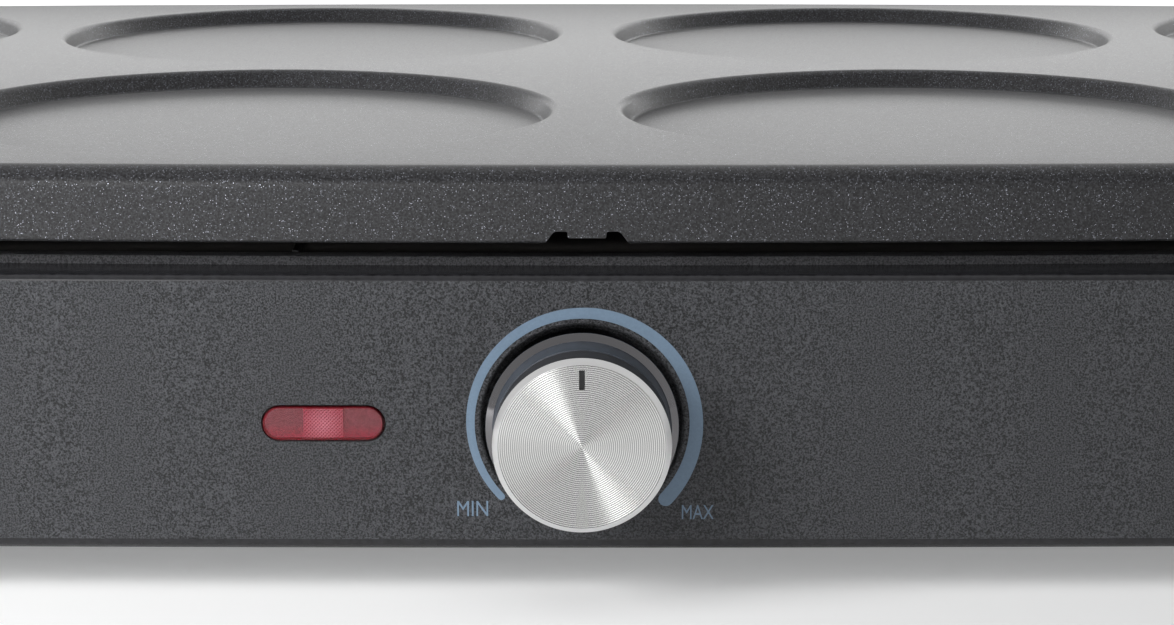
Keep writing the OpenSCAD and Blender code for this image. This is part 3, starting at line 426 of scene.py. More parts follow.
MATERIALS = {
    "plate_coating": coating(),
    "housing_plastic": moulded("housing_plastic", (0.062, 0.064, 0.07), 0.5,
                               grain_mm=0.3, depth_mm=0.5, contrast=0.75),
    # smooth finish, with a darker colour that is partly painted shade for the ledge under the plate
    "housing_smooth_painted_shade": moulded("housing_smooth_painted_shade", (0.022, 0.022, 0.025), 0.2),
    "frame_plastic": moulded("frame_plastic", (0.1, 0.1, 0.108), 0.42,
                             grain_mm=0.3, depth_mm=0.3, contrast=0.6),
    "handle_plastic": moulded("handle_plastic", (0.03, 0.03, 0.033), 0.45,
                              grain_mm=0.4, depth_mm=0.01),
    "white_plastic": moulded("white_plastic", (0.8, 0.79, 0.75), 0.5),
    "knob_plastic": metal("knob_plastic", (0.25, 0.245, 0.255), 0.1),
    "knob_matt": moulded("knob_matt", (0.03, 0.03, 0.033), 0.6,
                         grain_mm=0.25, depth_mm=0.03, contrast=0.4),
    "knob_neck": moulded("knob_neck", (0.055, 0.064, 0.08), 0.35),
    "pointer_black": moulded("pointer_black", (0.012, 0.012, 0.013), 0.35),
    "panel_print": ink("panel_print", (0.22, 0.315, 0.43)),
    "red_lens": red_cover(),
    "prism_red": red_prisms(),
    "lens_inside": red_ends(),
    "zinc_sheet": metal("zinc_sheet", (0.56, 0.57, 0.58), 0.38, stretch=(1, 8, 8)),
    "reflector_sheet": tray_sheet(),
    "element_sheath": metal("element_sheath", (0.16, 0.15, 0.145), 0.5),
    "shaft_steel": metal("shaft_steel", (0.66, 0.66, 0.66), 0.25, stretch=(8, 1, 8)),
    "spring_steel": metal("spring_steel", (0.3, 0.31, 0.35), 0.3),
    "screw_steel": metal("screw_steel", (0.62, 0.62, 0.6), 0.3),
    "brass": metal("brass", (0.78, 0.6, 0.28), 0.3),
    "copper": metal("copper", (0.72, 0.38, 0.24), 0.32),
    "ceramic": moulded("ceramic", (0.84, 0.83, 0.78), 0.7, grain_mm=0.5, contrast=0.06),
    "lamp_glass": moulded("lamp_glass", (0.8, 0.62, 0.5), 0.1),
    "brown_lead": moulded("brown_lead", (0.2, 0.09, 0.05), 0.45),
    "blue_lead": moulded("blue_lead", (0.05, 0.12, 0.38), 0.45),
    "green_lead": moulded("green_lead", (0.18, 0.38, 0.09), 0.45),
    "white_lead": moulded("white_lead", (0.72, 0.72, 0.69), 0.45),
    "black_rubber": moulded("black_rubber", (0.025, 0.025, 0.026), 0.7, grain_mm=0.5),
    # the spun face's grooves get painted shade
    "spun_aluminium": turned_metal("spun_aluminium", (0.8, 0.8, 0.79), 0.23, 0.95,
                                   groove_shade_color=(0.28, 0.28, 0.28)),
    "rim_cut": turned_metal("rim_cut", (0.92, 0.92, 0.92), 0.3, 0.5),
}


def dress(mesh, *names):
    """Gives a mesh these materials and no others."""
    mesh.materials.clear()
    for name in names:
        mesh.materials.append(MATERIALS[name])


for subpart in frame["record"]["subparts"]:
    dress(frame["nodes"][subpart["node"]].data, subpart["material_slot"])


# --- Making pieces ---

def solid(name, shape):
    """An object from a shape: its points in millimetres and its faces, turned outwards."""
    points, faces = shape
    mesh = bpy.data.meshes.new(name)
    mesh.from_pydata([Vector(point) * MM for point in points], [], faces)
    bm = bmesh.new()
    bm.from_mesh(mesh)
    bmesh.ops.remove_doubles(bm, verts=bm.verts, dist=1e-7)
    bmesh.ops.recalc_face_normals(bm, faces=bm.faces)
    bm.to_mesh(mesh)
    bm.free()
    return placed(name, mesh)


def finish_piece(obj, body, material, second=None, slot=None, sharp=32, replaces=()):
    """Dresses and shades a piece and ties it to a body. Some of its faces can take a
    second material. The slot argument is not used."""
    dress(obj.data, *([material, second] if second else [material]))
    shade(obj, sharp)
    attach(obj, body)
    if replaces:
        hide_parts(*replaces)


def shade(obj, sharp):
    """Smooth shading that breaks at edges over so many degrees and keeps flats flat."""
    mesh = obj.data
    mesh.polygons.foreach_set("use_smooth", [True] * len(mesh.polygons))
    mesh.set_sharp_from_angle(angle=math.radians(sharp))
    weighted = obj.modifiers.new("weighted", "WEIGHTED_NORMAL")
    weighted.keep_sharp = True
    weighted.mode = "FACE_AREA"


def piece(name, shape, body, material, **finish):
    """A finished piece straight from a shape."""
    obj = solid(name, shape)
    finish_piece(obj, body, material, **finish)
    return obj


def give_second(obj, chosen):
    """Gives the second material to the faces whose centre, in millimetres, is chosen."""
    for face in obj.data.polygons:
        face.material_index = 1 if chosen(face.center / MM) else 0


def combine(obj, tools, operation):
    """Applies boolean tools to obj's mesh and removes them."""
    for tool in tools:
        step = obj.modifiers.new("step", "BOOLEAN")
        step.object = tool
        step.operation = operation
        step.solver = "EXACT"
        graph = bpy.context.evaluated_depsgraph_get()
        mesh = bpy.data.meshes.new_from_object(obj.evaluated_get(graph))
        obj.modifiers.clear()
        obj.data = mesh
        bpy.data.objects.remove(tool)


# --- Shapes: each is its points and its faces ---

def around(ring):
    """Each item of a closed ring with the next one."""
    return zip(ring, ring[1:] + ring[:1])


def strip(first, second, count):
    """Faces between two closed rings of count points that start at first and second."""
    return [(first + i, first + (i + 1) % count, second + (i + 1) % count, second + i)
            for i in range(count)]


def loft(rings, closed=False, caps=True):
    """A shape through equal rings; closed joins the last ring to the first."""
    count = len(rings[0])
    last = (len(rings) - 1) * count
    points = [point for ring in rings for point in ring]
    faces = []
    for start in range(0, last, count):
        faces += strip(start, start + count, count)
    if closed:
        faces += strip(last, 0, count)
    elif caps:
        faces.append(tuple(reversed(range(count))))
        faces.append(tuple(range(last, last + count)))
    return points, faces


def merged(shapes):
    """Several shapes as one."""
    points, faces = [], []
    for shape_points, shape_faces in shapes:
        base = len(points)
        points += shape_points
        faces += [tuple(base + i for i in face) for face in shape_faces]
    return points, faces


def extruded(outline_points, centre, y0, y1):
    """A shape of an x-z outline between two depths."""
    return loft([[(centre.x + x, y, centre.z + z) for x, z in outline_points] for y in (y0, y1)])


def turned(profile, centre, steps=192):
    """A closed shape turned about an axis along Y. The profile lists radius and reach
    in front of the panel, and starts and ends on the axis."""
    rings = [[(centre.x + x, FRONT_Y - reach, centre.z + z)
              for x, z in arc((0, 0), radius, 0, 2 * math.pi, steps)]
             for radius, reach in profile[1:-1]]
    points, faces = loft(rings, caps=False)
    for (_, reach), start in ((profile[0], 0), (profile[-1], (len(rings) - 1) * steps)):
        apex = len(points)
        points.append((centre.x, FRONT_Y - reach, centre.z))
        faces += [(apex, start + i, start + (i + 1) % steps) for i in range(steps)]
    return points, faces


# --- Outlines ---

def arc(centre, r, start, end, steps):
    """Points of an arc, its end left out."""
    return [(centre[0] + r * math.cos(start + (end - start) * i / steps),
             centre[1] + r * math.sin(start + (end - start) * i / steps))
            for i in range(steps)]


def circle(x, y, r, z, steps):
    """A level ring of points."""
    return [(x + a, y + b, z) for a, b in arc((0, 0), r, 0, 2 * math.pi, steps)]


def rounding(r, steps):
    """Steps of a quarter round, each as its distances from the two sides that it joins:
    from (r, 0) to (0, r)."""
    angles = [math.pi / 2 * i / steps for i in range(steps + 1)]
    return [(r * (1 - math.sin(a)), r * (1 - math.cos(a))) for a in angles]


def stadium(w, h, steps=24):
    """Outline of a stadium along x, anticlockwise."""
    r = h / 2
    half = w / 2 - r
    right = [(half + r * math.cos(a), r * math.sin(a))
             for a in (math.pi * (i / steps - 0.5) for i in range(steps + 1))]
    return right + [(-x, -y) for x, y in right]


def rounded_rectangle(w, h, r, steps=4):
    """Outline of a rectangle with rounded corners, anticlockwise."""
    points = []
    for side_x, side_z, turn in ((1, -1, -90), (1, 1, 0), (-1, 1, 90), (-1, -1, 180)):
        for i in range(steps + 1):
            a = math.radians(turn + 90 * i / steps)
            points.append((side_x * (w / 2 - r) + r * math.cos(a),
                           side_z * (h / 2 - r) + r * math.sin(a)))
    return points


def inset(slab, t):
    """A slab's outline moved inwards by t."""
    return Slab(slab.length - 2 * t, slab.depth - 2 * t, slab.bow - t, slab.end_bow - t,
                max(slab.corner - t, SMALLEST_CORNER))


def outline(slab, side_steps=64, corner_steps=16, end_steps=24):
    """Points round a slab's bowed sides and corners, anticlockwise from the front left."""
    front = Vector((0, slab.bow - slab.depth / 2))
    right = Vector((slab.length / 2 - slab.end_bow, 0))
    r_front, r_right = slab.bow - slab.corner, slab.end_bow - slab.corner
    gap = (right - front).length
    u = (right - front) / gap
    along = (r_front ** 2 - r_right ** 2 + gap ** 2) / (2 * gap)
    across = math.sqrt(r_front ** 2 - along ** 2)
    corner = front + along * u + across * Vector((-u.y, u.x))
    a_front = math.atan2(corner.y - front.y, corner.x - front.x)
    a_end = math.atan2(corner.y - right.y, corner.x - right.x)
    pi = math.pi
    stretches = (
        (front, slab.bow, -pi - a_front, a_front, side_steps),
        (corner, slab.corner, a_front, a_end, corner_steps),
        (right, slab.end_bow, a_end, -a_end, end_steps),
        ((corner.x, -corner.y), slab.corner, -a_end, -a_front, corner_steps),
        (-front, slab.bow, -a_front, pi + a_front, side_steps),
        (-corner, slab.corner, pi + a_front, pi + a_end, corner_steps),
        (-right, slab.end_bow, pi + a_end, pi - a_end, end_steps),
        ((-corner.x, corner.y), slab.corner, pi - a_end, pi - a_front, corner_steps),
    )
    return [point for stretch in stretches for point in arc(*stretch)]


def level(slab, t, z):
    """A slab's outline inset by t, at height z, about the body's centre."""
    return [(x, y + BODY_Y, z) for x, y in outline(inset(slab, t))]


# --- Cooking plate ---

def well_centres():
    """The middle of each well, column by column."""
    for i in range(COLUMNS):
        for j in range(ROWS):
            yield ((i - (COLUMNS - 1) / 2) * WELL_PITCH,
                   (j - (ROWS - 1) / 2) * WELL_PITCH + BODY_Y)


def well_rings(x, y, steps=160, sweep=8):
    """Rings from a well's rim down its sloping wall and over its floor."""
    angles = [WELL_SLOPE * i / sweep for i in range(sweep + 1)]
    wall_h = WELL_DEPTH - (RIM_R + FOOT_R) * (1 - math.cos(WELL_SLOPE))
    wall_w = (RIM_R + FOOT_R) * math.sin(WELL_SLOPE) + wall_h / math.tan(WELL_SLOPE)
    profile = [(RIM_R * math.sin(a), RIM_R * (1 - math.cos(a))) for a in angles]
    profile += [(wall_w - FOOT_R * math.sin(a), WELL_DEPTH - FOOT_R * (1 - math.cos(a)))
                for a in reversed(angles)]
    rim = WELL_R + RIM_LEAD
    rings = [circle(x, y, rim - back, PLATE_TOP - down, steps) for back, down in profile]
    rings += [circle(x, y, share * (rim - wall_w), FLOOR_Z, steps)
              for share in (0.75, 0.5, 0.25, 0.08)]
    return rings


def add_rings(bm, rings):
    """Adds rings of points, in millimetres, and the faces between them."""
    rows = [[bm.verts.new(Vector(point) * MM) for point in ring] for ring in rings]
    for upper, lower in zip(rows, rows[1:]):
        for (a, b), (c, d) in zip(around(upper), around(lower)):
            bm.faces.new((a, b, d, c))
    return rows


def border(bm, ring):
    """The edges of a closed ring of vertices."""
    return [bm.edges.get(pair) for pair in around(ring)]


def plate_shell():
    """The casting without its notch: top with wells, rounded edge, skirt, underside."""
    outer = [level(PLATE, back, PLATE_TOP - down) for back, down in rounding(EDGE_R, 10)]
    outer += [level(PLATE, 0, PLATE_TOP - down) for down in (5, 8)]
    outer += [level(PLATE, back, SKIRT_Z + up) for up, back in rounding(SKIRT_EDGE_R, 5)]
    outer += [level(PLATE, SKIRT_T, z) for z in (SKIRT_Z, PLATE_UNDER)]
    bm = bmesh.new()
    rows = add_rings(bm, outer)
    top_edges = border(bm, rows[0])
    under_edges = border(bm, rows[-1])
    for x, y in well_centres():
        well = add_rings(bm, well_rings(x, y))
        bm.faces.new(well[-1])
        top_edges += border(bm, well[0])
        boss = add_rings(bm, [circle(x, y, BOSS_R, z, 96) for z in (PLATE_UNDER, BOSS_Z)])
        bm.faces.new(boss[-1])
        under_edges += border(bm, boss[0])
    for edges in (top_edges, under_edges):
        bmesh.ops.triangle_fill(bm, use_beauty=False, edges=edges)
    bmesh.ops.recalc_face_normals(bm, faces=bm.faces)
    mesh = bpy.data.meshes.new("plate")
    bm.to_mesh(mesh)
    bm.free()
    return placed("plate", mesh)


def notch_outline():
    """Outline of the notch round its hanging tab, from the skirt's lower edge up."""
    half, top, tab = NOTCH_W / 2, NOTCH_W / 2 - NOTCH_SLOPE, TAB_W / 2
    side = [(half + OVER, -1.5 * OVER), (half + 0.25, 0), (half - 0.1, 0.2),
            (top + 0.3, NOTCH_H - 0.25), (top - 0.25, NOTCH_H)]
    side += [(tab + back, NOTCH_H - down) for back, down in rounding(TAB_SOFT, 4)]
    side += [(tab - back, NOTCH_H - TAB_H + up) for up, back in rounding(TAB_SOFT, 4)]
    return side + [(-x, z) for x, z in reversed(side)]


def cooking_plate():
    """The casting with its notch."""
    obj = plate_shell()
    front = BODY_Y - PLATE.depth / 2
    notch = extruded(notch_outline(), Vector((0, 0, SKIRT_Z)), front - OVER,
                     front + SKIRT_T + 0.5)
    combine(obj, [solid("notch", notch)], "DIFFERENCE")
    finish_piece(obj, "plate", "plate_coating", sharp=35, replaces=["cooking_plate"])


def peg(x, y, stages, steps=48):
    """An upright peg of one or more stages: radius, lower end, upper end and chamfer."""
    rings = []
    for r, low, high, chamfer in stages:
        rings += [(r - chamfer, low), (r, low + chamfer), (r, high)]
    return loft([circle(x, y, r, z, steps) for r, z in rings])


def plate_feet():
    """Feet, spigots, sensor pad and ribs under the plate."""
    foot_z, join_z = TRAY_SHELF + 0.1, PLATE_UNDER + OVER
    foot = [(SPIGOT_R, plate_low.z, foot_z, 0.6), (PLATE_FOOT_R, foot_z, join_z, 0.3)]
    foot_y = PLATE.depth / 2 - LIP_BACK - TRAY_BACK + PLATE_FOOT_OUT
    shapes = [peg(x, BODY_Y + y, foot)
              for x in (-WELL_PITCH, WELL_PITCH) for y in (-foot_y, foot_y)]
    shapes.append(peg(0, BODY_Y, [(PAD_R, PLATE_UNDER - PAD_H, join_z, 0.4)], steps=64))
    reach_x, reach_y = (size / 2 - SKIRT_T + OVER for size in (PLATE.length, PLATE.depth))
    ribs = [(0, reach_x, RIB_T / 2)]
    ribs += [(x, RIB_T / 2, reach_y - x * x / (2 * PLATE.bow))
             for x in (-WELL_PITCH, 0, WELL_PITCH)]
    for middle_x, half_x, half_y in ribs:
        corners = [(middle_x + side_x * half_x, BODY_Y + side_y * half_y)
                   for side_x, side_y in ((-1, -1), (1, -1), (1, 1), (-1, 1))]
        shapes.append(loft([[(x, y, z) for x, y in corners] for z in (BOSS_Z, join_z)]))
    piece("plate_feet_and_ribs", merged(shapes), "plate", "plate_coating")


# --- Housing and lip ---

def panel_y(x):
    """Depth of the bowed front panel at x."""
    return FRONT_Y + BODY.bow - math.sqrt(BODY.bow ** 2 - x * x)


def housing_shell():
    """The cover's walls and ledge, before anything is cut."""
    rings = [level(BODY, back, BODY_Z + up) for back, up in rounding(BODY_LOW_R, 8)]
    rings += [level(BODY, 0, BODY_Z + up) for up in (6, 14, 22, 30, 38)]
    rings += [level(BODY, back, BODY_TOP - down) for down, back in rounding(BODY_EDGE_R, 8)]
    mouth = inset(PLATE, LIP_BACK + LEDGE_LAP - FIT)
    rings += [level(mouth, 0, BODY_TOP), level(mouth, 0, BODY_TOP - WALL)]
    rings += [level(BODY, WALL, BODY_TOP - WALL), level(BODY, WALL, BODY_Z)]
    return solid("housing_shell", loft(rings, closed=True))


def dish_boss():
    """Backing for the recess behind the dial."""
    r, front, back = DISH_R + DISH_WALL, 0.4 - WALL, -WALL - DISH_DEPTH
    return solid("dish_boss", turned([(0, front), (r, front), (r, back), (0, back)], DIAL))


def dish_cutter():
    """The round recess behind the dial, and the hole for the dial's shaft."""
    through = -DISH_DEPTH - WALL - OVER
    profile = [(0, OVER), (DISH_R + DISH_EDGE_R, OVER)]
    profile += [(DISH_R + back, -down) for back, down in rounding(DISH_EDGE_R, 8)]
    profile += [(DISH_R, DISH_FOOT - DISH_DEPTH), (DISH_R - DISH_FOOT, -DISH_DEPTH)]
    profile += [(SHAFT_HOLE_R, -DISH_DEPTH), (SHAFT_HOLE_R, through), (0, through)]
    return solid("dish", turned(profile, DIAL))


def housing():
    """The cover with its recess, the lens's slot and the seat of the cord's bush. Its
    walls are grained; its roundings, ledge and lower edge are smooth, and their darker
    colour is partly painted shade for the ledge under the plate."""
    obj = housing_shell()
    combine(obj, [dish_boss()], "UNION")
    slot = extruded(stadium(LENS_W + 2 * FIT, LENS_H + 2 * FIT), LENS, FRONT_Y - OVER,
                    FRONT_Y + WALL + OVER)
    neck = GLAND_NECK + 2 * GLAND_FIT
    seat = extruded(rounded_rectangle(neck, neck, GLAND_SOFT), GLAND,
                    housing_high.y - 4 * WALL, housing_high.y + OVER)
    combine(obj, [dish_cutter(), solid("slot", slot), solid("gland_seat", seat)], "DIFFERENCE")
    finish_piece(obj, "base", "housing_plastic", "housing_smooth_painted_shade", sharp=35, replaces=["housing"])
    grain_low, grain_top = BODY_Z + BODY_LOW_R, BODY_TOP - 0.9 * BODY_EDGE_R
    give_second(obj, lambda centre: not grain_low < centre.z < grain_top)


def lip():
    """The frame under the plate: lip, wall and flange, as one closed ring."""
    flange_end = TRAY_BACK - TRAY_T - FIT
    profile = [(0, BODY_TOP)]
    profile += [(back, LIP_TOP - down) for down, back in rounding(LIP_SOFT, 4)]
    profile += [(PLATE_GAP, LIP_TOP), (PLATE_GAP, FRAME_SHELF), (flange_end, FRAME_SHELF),
                (flange_end, FLANGE_Z), (LEDGE_LAP, FLANGE_Z), (LEDGE_LAP, BODY_TOP)]
    rings = [level(inset(PLATE, LIP_BACK), back, z) for back, z in profile]
    piece("lip_frame", loft(rings, closed=True), "base", "frame_plastic", replaces=["top_frame"])


# --- Dial ---

def knob():
    """The glossy rim with its cone and neck, and the matt barrel in front of them."""
    core = BARREL_R - BARREL_STEP
    skirt = [(0, -COLLAR_SINK)]
    skirt += [(COLLAR_R - back, up - COLLAR_SINK) for back, up in rounding(COLLAR_SOFT, 4)]
    skirt += [(COLLAR_R - COLLAR_SOFT * (1 - math.cos(a)),
               COLLAR_L - COLLAR_SOFT * (0.4 - math.sin(a)))
              for a in (math.pi / 4 * i / 4 for i in range(5))]
    skirt += [(NECK_R + 0.1, NECK_START - 0.13), (NECK_R - 0.02, NECK_START + 0.15),
              (BARREL_R + 0.08, NECK_END - 0.4), (core, NECK_END - 0.32), (0, NECK_END - 0.32)]
    obj = piece("knob_skirt", turned(skirt, DIAL, 256), "dial", "knob_plastic",
                second="knob_neck", sharp=20, replaces=["knob"])
    give_second(obj, lambda centre: FRONT_Y - centre.y > NECK_START)
    barrel = [(0, NECK_END - OVER), (core, NECK_END - OVER), (core, NECK_END - 0.05),
              (BARREL_R, NECK_END + 0.1), (BARREL_R, FACE_BACK - 0.15),
              (BARREL_R - 0.15, FACE_BACK), (0, FACE_BACK)]
    piece("knob_barrel", turned(barrel, DIAL, 256), "dial", "knob_matt", slot="knob_plastic",
          sharp=30)


def face_profile():
    """Half section of the spun face: bright cut rim outside, turned grooves inside."""
    inner = FACE_R - FACE_RIM
    ridge = DIAL_REACH - 0.02
    valley = ridge - GROOVE / 2 * math.tan(GROOVE_TILT)
    profile = [(0, FACE_BACK), (FACE_R, FACE_BACK), (FACE_R, DIAL_REACH - RIM_CUT),
               (FACE_R - 0.05, DIAL_REACH - RIM_CUT + 0.06), (inner + 0.04, ridge),
               (inner - 0.02, DIAL_REACH)]
    for i in range(GROOVES, 0, -1):
        profile += [(GROOVE * i, valley), (GROOVE * i - GROOVE / 2, ridge)]
    return profile + [(0, valley)]


def knob_face():
    """The spun face with the pointer in its slot."""
    obj = solid("knob_disc", turned(face_profile(), DIAL, 256))
    centre = DIAL + Vector((0, 0, POINTER_UP))
    front, back = FRONT_Y - DIAL_REACH, FRONT_Y - FACE_BACK
    slot = extruded(rounded_rectangle(POINTER_W + 0.12, POINTER_H + 0.16, POINTER_R), centre,
                    front - OVER, back + 0.5)
    combine(obj, [solid("pointer_slot", slot)], "DIFFERENCE")
    finish_piece(obj, "dial", "spun_aluminium", "rim_cut", sharp=12, replaces=["knob_face"])
    give_second(obj, lambda at: math.hypot(at.x - DIAL.x, at.z - DIAL.z) > FACE_R - FACE_RIM)
    bar = extruded(rounded_rectangle(POINTER_W, POINTER_H, POINTER_R), centre,
                   front + 0.35, back + 0.2)
    piece("pointer", bar, "dial", "pointer_black", slot="knob_plastic")


# --- Printed scale ---

PRINT_T = 0.03
ARC_END = 133
ARC_INNER = 17.72
ARC_THIN, ARC_THICK = 1.2, 2.45


def printed(name, flat_points, flat_faces):
    """A thin printed shape on the bowed panel, from x-z points and the faces on them."""
    count = len(flat_points)
    points = [(x, panel_y(x) + side * PRINT_T, z) for side in (-1, 1) for x, z in flat_points]
    faces = flat_faces + [[i + count for i in reversed(face)] for face in flat_faces]
    edges = dict.fromkeys(edge for face in flat_faces for edge in around(face))
    faces += [(b, a, a + count, b + count) for a, b in edges if (b, a) not in edges]
    piece(name, (points, faces), "base", "panel_print", slot="housing_plastic")


def round_end(a, b, turn, steps=10):
    """Points of a half round between a and b, on the side that turn picks."""
    centre, arm = (a + b) / 2, (a - b) / 2
    side = Vector((arm.y, -arm.x)) * turn
    angles = [math.pi * i / steps for i in range(1, steps)]
    return [tuple(centre + arm * math.cos(q) + side * math.sin(q)) for q in angles]


def printed_arc(steps=120):
    """A band round the recess that widens from MIN to MAX, with round ends."""
    inner, outer = [], []
    for i in range(steps + 1):
        a = math.radians(90 + ARC_END - 2 * ARC_END * i / steps)
        width = ARC_THIN + (ARC_THICK - ARC_THIN) * i / steps
        for ring, r in ((inner, ARC_INNER), (outer, ARC_INNER + width)):
            ring.append((DIAL.x + r * math.cos(a), DIAL.z + r * math.sin(a)))
    points = inner + outer
    across = steps + 1
    faces = [[i, i + 1, across + i + 1, across + i] for i in range(steps)]
    for i, turn in ((0, 1), (steps, -1)):
        start = len(points)
        points += round_end(Vector(inner[i]), Vector(outer[i]), turn)
        ring = [i, *range(start, len(points)), across + i]
        faces.append(ring if turn < 0 else ring[::-1])
    printed("scale_arc", points, faces)


def printed_word(text, left, right, low, high):
    """Plain capitals between four limits on the panel."""
    data = bpy.data.curves.new("word", "FONT")
    data.body = text
    data.resolution_u = 6
    obj = placed("word", data)
    graph = bpy.context.evaluated_depsgraph_get()
    bm = bmesh.new()
    bm.from_mesh(bpy.data.meshes.new_from_object(obj.evaluated_get(graph)))
    bpy.data.objects.remove(obj)
    bmesh.ops.remove_doubles(bm, verts=bm.verts, dist=1e-6)
    bm.verts.index_update()
    spots = [vertex.co.copy() for vertex in bm.verts]
    faces = [[vertex.index for vertex in face.verts] for face in bm.faces]
    bm.free()
    x0, x1 = min(spot.x for spot in spots), max(spot.x for spot in spots)
    y0, y1 = min(spot.y for spot in spots), max(spot.y for spot in spots)
    points = [(left + (spot.x - x0) / (x1 - x0) * (right - left),
               low + (spot.y - y0) / (y1 - y0) * (high - low)) for spot in spots]
    printed("word_" + text.lower(), points, faces)


# --- Pilot lens ---

def lens_ring(grow, y):
    """The lens's outline, grown on all sides, at depth y."""
    shape = stadium(LENS_W + 2 * grow, LENS_H + 2 * grow)
    return [(LENS.x + x, y, LENS.z + z) for x, z in shape]


def lens_cover():
    """The lens's clear skin with its rounded rim and its flange behind the panel."""
    flange_y = FRONT_Y + WALL + FIT
    rings = [lens_ring(-back, LENS_Y + down) for back, down in rounding(LENS_EDGE_R, 5)]
    rings += [lens_ring(0, flange_y), lens_ring(LENS_FLANGE_W, flange_y),
              lens_ring(LENS_FLANGE_W, flange_y + LENS_FLANGE_T)]
    piece("lens_cover", loft(rings), "base", "red_lens", replaces=["indicator_lens"])


def grid_faces(columns, rows):
    """Triangles of a grid. The diagonal of each square joins its two even points."""
    across = rows + 1
    faces = []
    for i in range(columns):
        for j in range(rows):
            a, b = i * across + j, (i + 1) * across + j
            if (i + j) % 2 == 0:
                faces += [(a, b, b + 1), (a, b + 1, a + 1)]
            else:
                faces += [(a, b, a + 1), (b, b + 1, a + 1)]
    return faces


def grid_rim(columns, rows):
    """The points on a grid's four sides, in their order round it."""
    across = rows + 1
    last = columns * across
    return [*range(0, last, across), *range(last, last + rows),
            *range(last + rows, rows, -across), *range(rows, 0, -1)]


def lens_prisms():
    """The diamond prisms in the middle of the lens, and the plain ends behind the skin."""
    half_w, half_h = PRISMS_W / 2, LENS_H / 2 - LENS_EDGE_R
    columns, rows = (2 * round(2 * half / PRISM_PITCH) for half in (half_w, half_h))
    points = [(LENS.x - half_w + 2 * half_w * i / columns,
               PRISM_Y + (i + j) % 2 * PRISM_DEPTH / 2,
               LENS.z - half_h + 2 * half_h * j / rows)
              for i in range(columns + 1) for j in range(rows + 1)]
    rim = grid_rim(columns, rows)
    base = len(points)
    points += [(points[i][0], PRISM_Y + PRISMS_T, points[i][2]) for i in rim]
    wall = zip(around(rim), around(list(range(base, len(points)))))
    faces = grid_faces(columns, rows) + [(a, c, d, b) for (a, b), (c, d) in wall]
    faces.append(tuple(range(base, len(points))))
    piece("lens_prisms", (points, faces), "base", "prism_red", slot="red_lens", sharp=5)
    inner = stadium(LENS_W - 2 * LENS_EDGE_R, LENS_H - 2 * LENS_EDGE_R)
    back = extruded(inner, LENS, PRISM_Y + 0.45, PRISM_Y + 1.2)
    piece("lens_back", back, "base", "lens_inside", slot="red_lens")


# --- Stage, in metres ---

FLOOR_HALF = 4.0
# painted shadow: the floor glows only SHADE_GLOW round the object, rising to full glow over
# SHADE_FADE beyond the SHADE_HALF box
SHADE_HALF = (("X", 0.27), ("Y", 0.12))
SHADE_FADE = (0.04, 0.35)
SHADE_GLOW = 0.24
MIRRORED_GLOW = 0.3


def stage():
    """Pale floor that keeps the real shadow and glows less near the object, a painted
    shadow, turning white away from it.
    """
    corners = [(x * FLOOR_HALF, y * FLOOR_HALF, 0) for x, y in ((-1, -1), (1, -1), (1, 1), (-1, 1))]
    mesh = bpy.data.meshes.new("floor")
    mesh.from_pydata(corners, [], [(0, 1, 2, 3)])
    placed("floor", mesh)
    s = Surface("floor", (0.86, 0.86, 0.86), 0.9, Emission_Color=(1, 1, 1, 1))
    rays = s.add("ShaderNodeLightPath").outputs
    mirrored = s.math("MULTIPLY", rays["Is Glossy Ray"], MIRRORED_GLOW)
    seen = s.math("MAXIMUM", rays["Is Camera Ray"], mirrored)
    aside = [s.math("SUBTRACT", s.math("ABSOLUTE", s.along(axis)), half)
             for axis, half in SHADE_HALF]
    # painted shadow: less glow near the object
    away = s.ramp(s.math("MAXIMUM", *aside), *SHADE_FADE, SHADE_GLOW, 1)
    s.feed("Emission Strength", s.math("MULTIPLY", seen, away))
    mesh.materials.append(s.material)


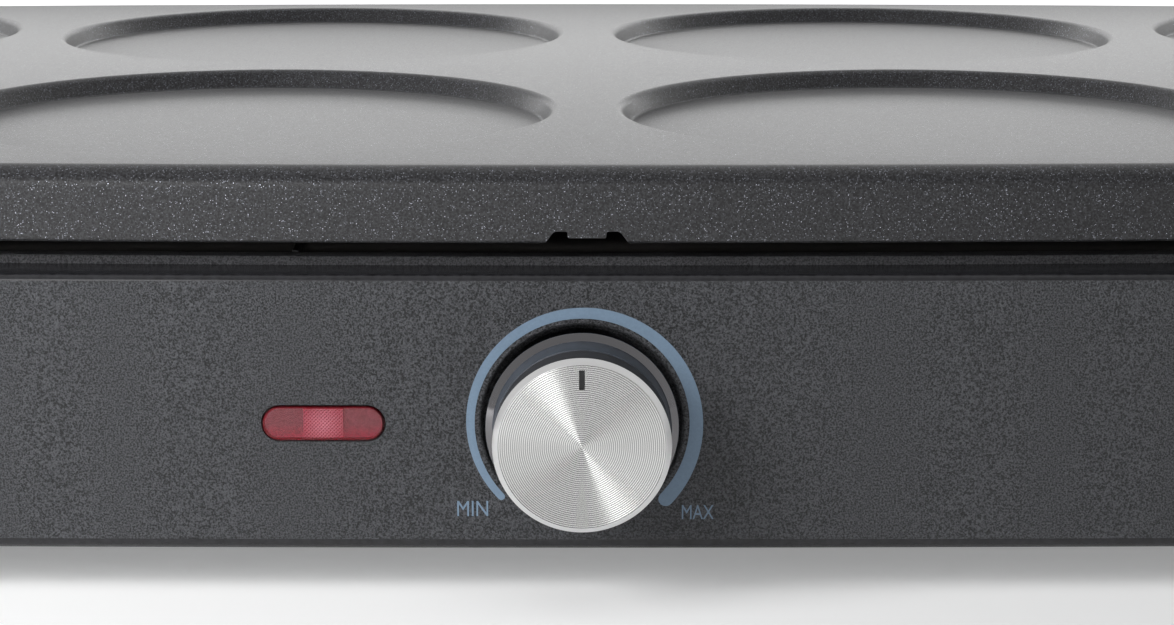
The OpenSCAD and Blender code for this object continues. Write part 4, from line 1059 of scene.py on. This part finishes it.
def surroundings():
    """A pale field to the camera and behind the object, darker in front of it, and a
    weaker grey as light on its surfaces."""
    world = bpy.data.worlds.new("world")
    bpy.context.scene.world = world
    world.use_nodes = True
    sky = Nodes(world.node_tree, "Generated")
    light = sky.tree.nodes["Background"]
    sky.put(light, "Color", (0.96, 0.98, 1, 1))
    sky.put(light, "Strength", 0.11)
    rays = sky.add("ShaderNodeLightPath").outputs
    behind = sky.ramp(sky.along("Y"), -0.95, 0.35, 0.24, 1.05)
    pale = sky.add("ShaderNodeBackground", Color=(0.8, 0.8, 0.8, 1))
    sky.put(pale, "Strength", sky.math("MAXIMUM", behind, rays["Is Camera Ray"]))
    seen = sky.math("MAXIMUM", rays["Is Camera Ray"], rays["Is Glossy Ray"])
    seen = sky.math("MAXIMUM", seen, rays["Is Transmission Ray"])
    mixed = sky.add("ShaderNodeMixShader")
    for socket, value in enumerate((seen, light.outputs[0], pale.outputs[0])):
        sky.put(mixed, socket, value)
    sky.put(sky.tree.nodes["World Output"], 0, mixed.outputs[0])


def softbox(name, place, target, size, power, lean=0, diffuse=True, glossy=False):
    """An area light: soft light on surfaces, a bright field in their sheen, or both."""
    data = bpy.data.lights.new(name, "AREA")
    data.shape = "RECTANGLE"
    data.size, data.size_y = size
    data.energy = power
    lamp = placed(name, data)
    lamp.location = place
    lamp.rotation_euler = (Vector(target) - Vector(place)).to_track_quat("-Z", "Y").to_euler()
    lamp.rotation_euler.rotate_axis("Z", math.radians(lean))
    lamp.visible_diffuse = diffuse
    lamp.visible_glossy = glossy
    lamp.visible_camera = False


# --- Making ---

cooking_plate()
plate_feet()
housing()
lip()
knob()
knob_face()
printed_arc()
printed_word("MIN", left=-21.55, right=-16.41, low=13.53, high=16.14)
printed_word("MAX", left=15.75, right=21.05, low=13.0, high=15.44)
lens_cover()
lens_prisms()
stage()
surroundings()
softbox("key", (-0.42, -0.42, 0.3), (0, -0.13, 0.03), size=(0.35, 0.35), power=3.3)
softbox("top", (0, -0.6, 1.3), (0, -0.1, 0), size=(1.6, 1.0), power=4)
softbox("back", (0, 0.165, 0.105), (0, 0.05, 0.07), size=(1.2, 0.03), power=0.17, glossy=True)
softbox("streak", (-0.4, -1.53, 0.42), (0, -0.15, 0.03), size=(0.25, 0.9), power=2.4, lean=18,
        diffuse=False, glossy=True)
softbox("edge", (-0.15, -1.6, 0.45), (0, -0.15, 0.06), size=(1.7, 0.14), power=1.2,
        diffuse=False, glossy=True)
softbox("glow", (-0.8, -1.4, 0.17), (0, -0.15, 0.06), size=(0.5, 0.2), power=0.8,
        diffuse=False, glossy=True)

bpy.context.scene.view_settings.view_transform = "Standard"
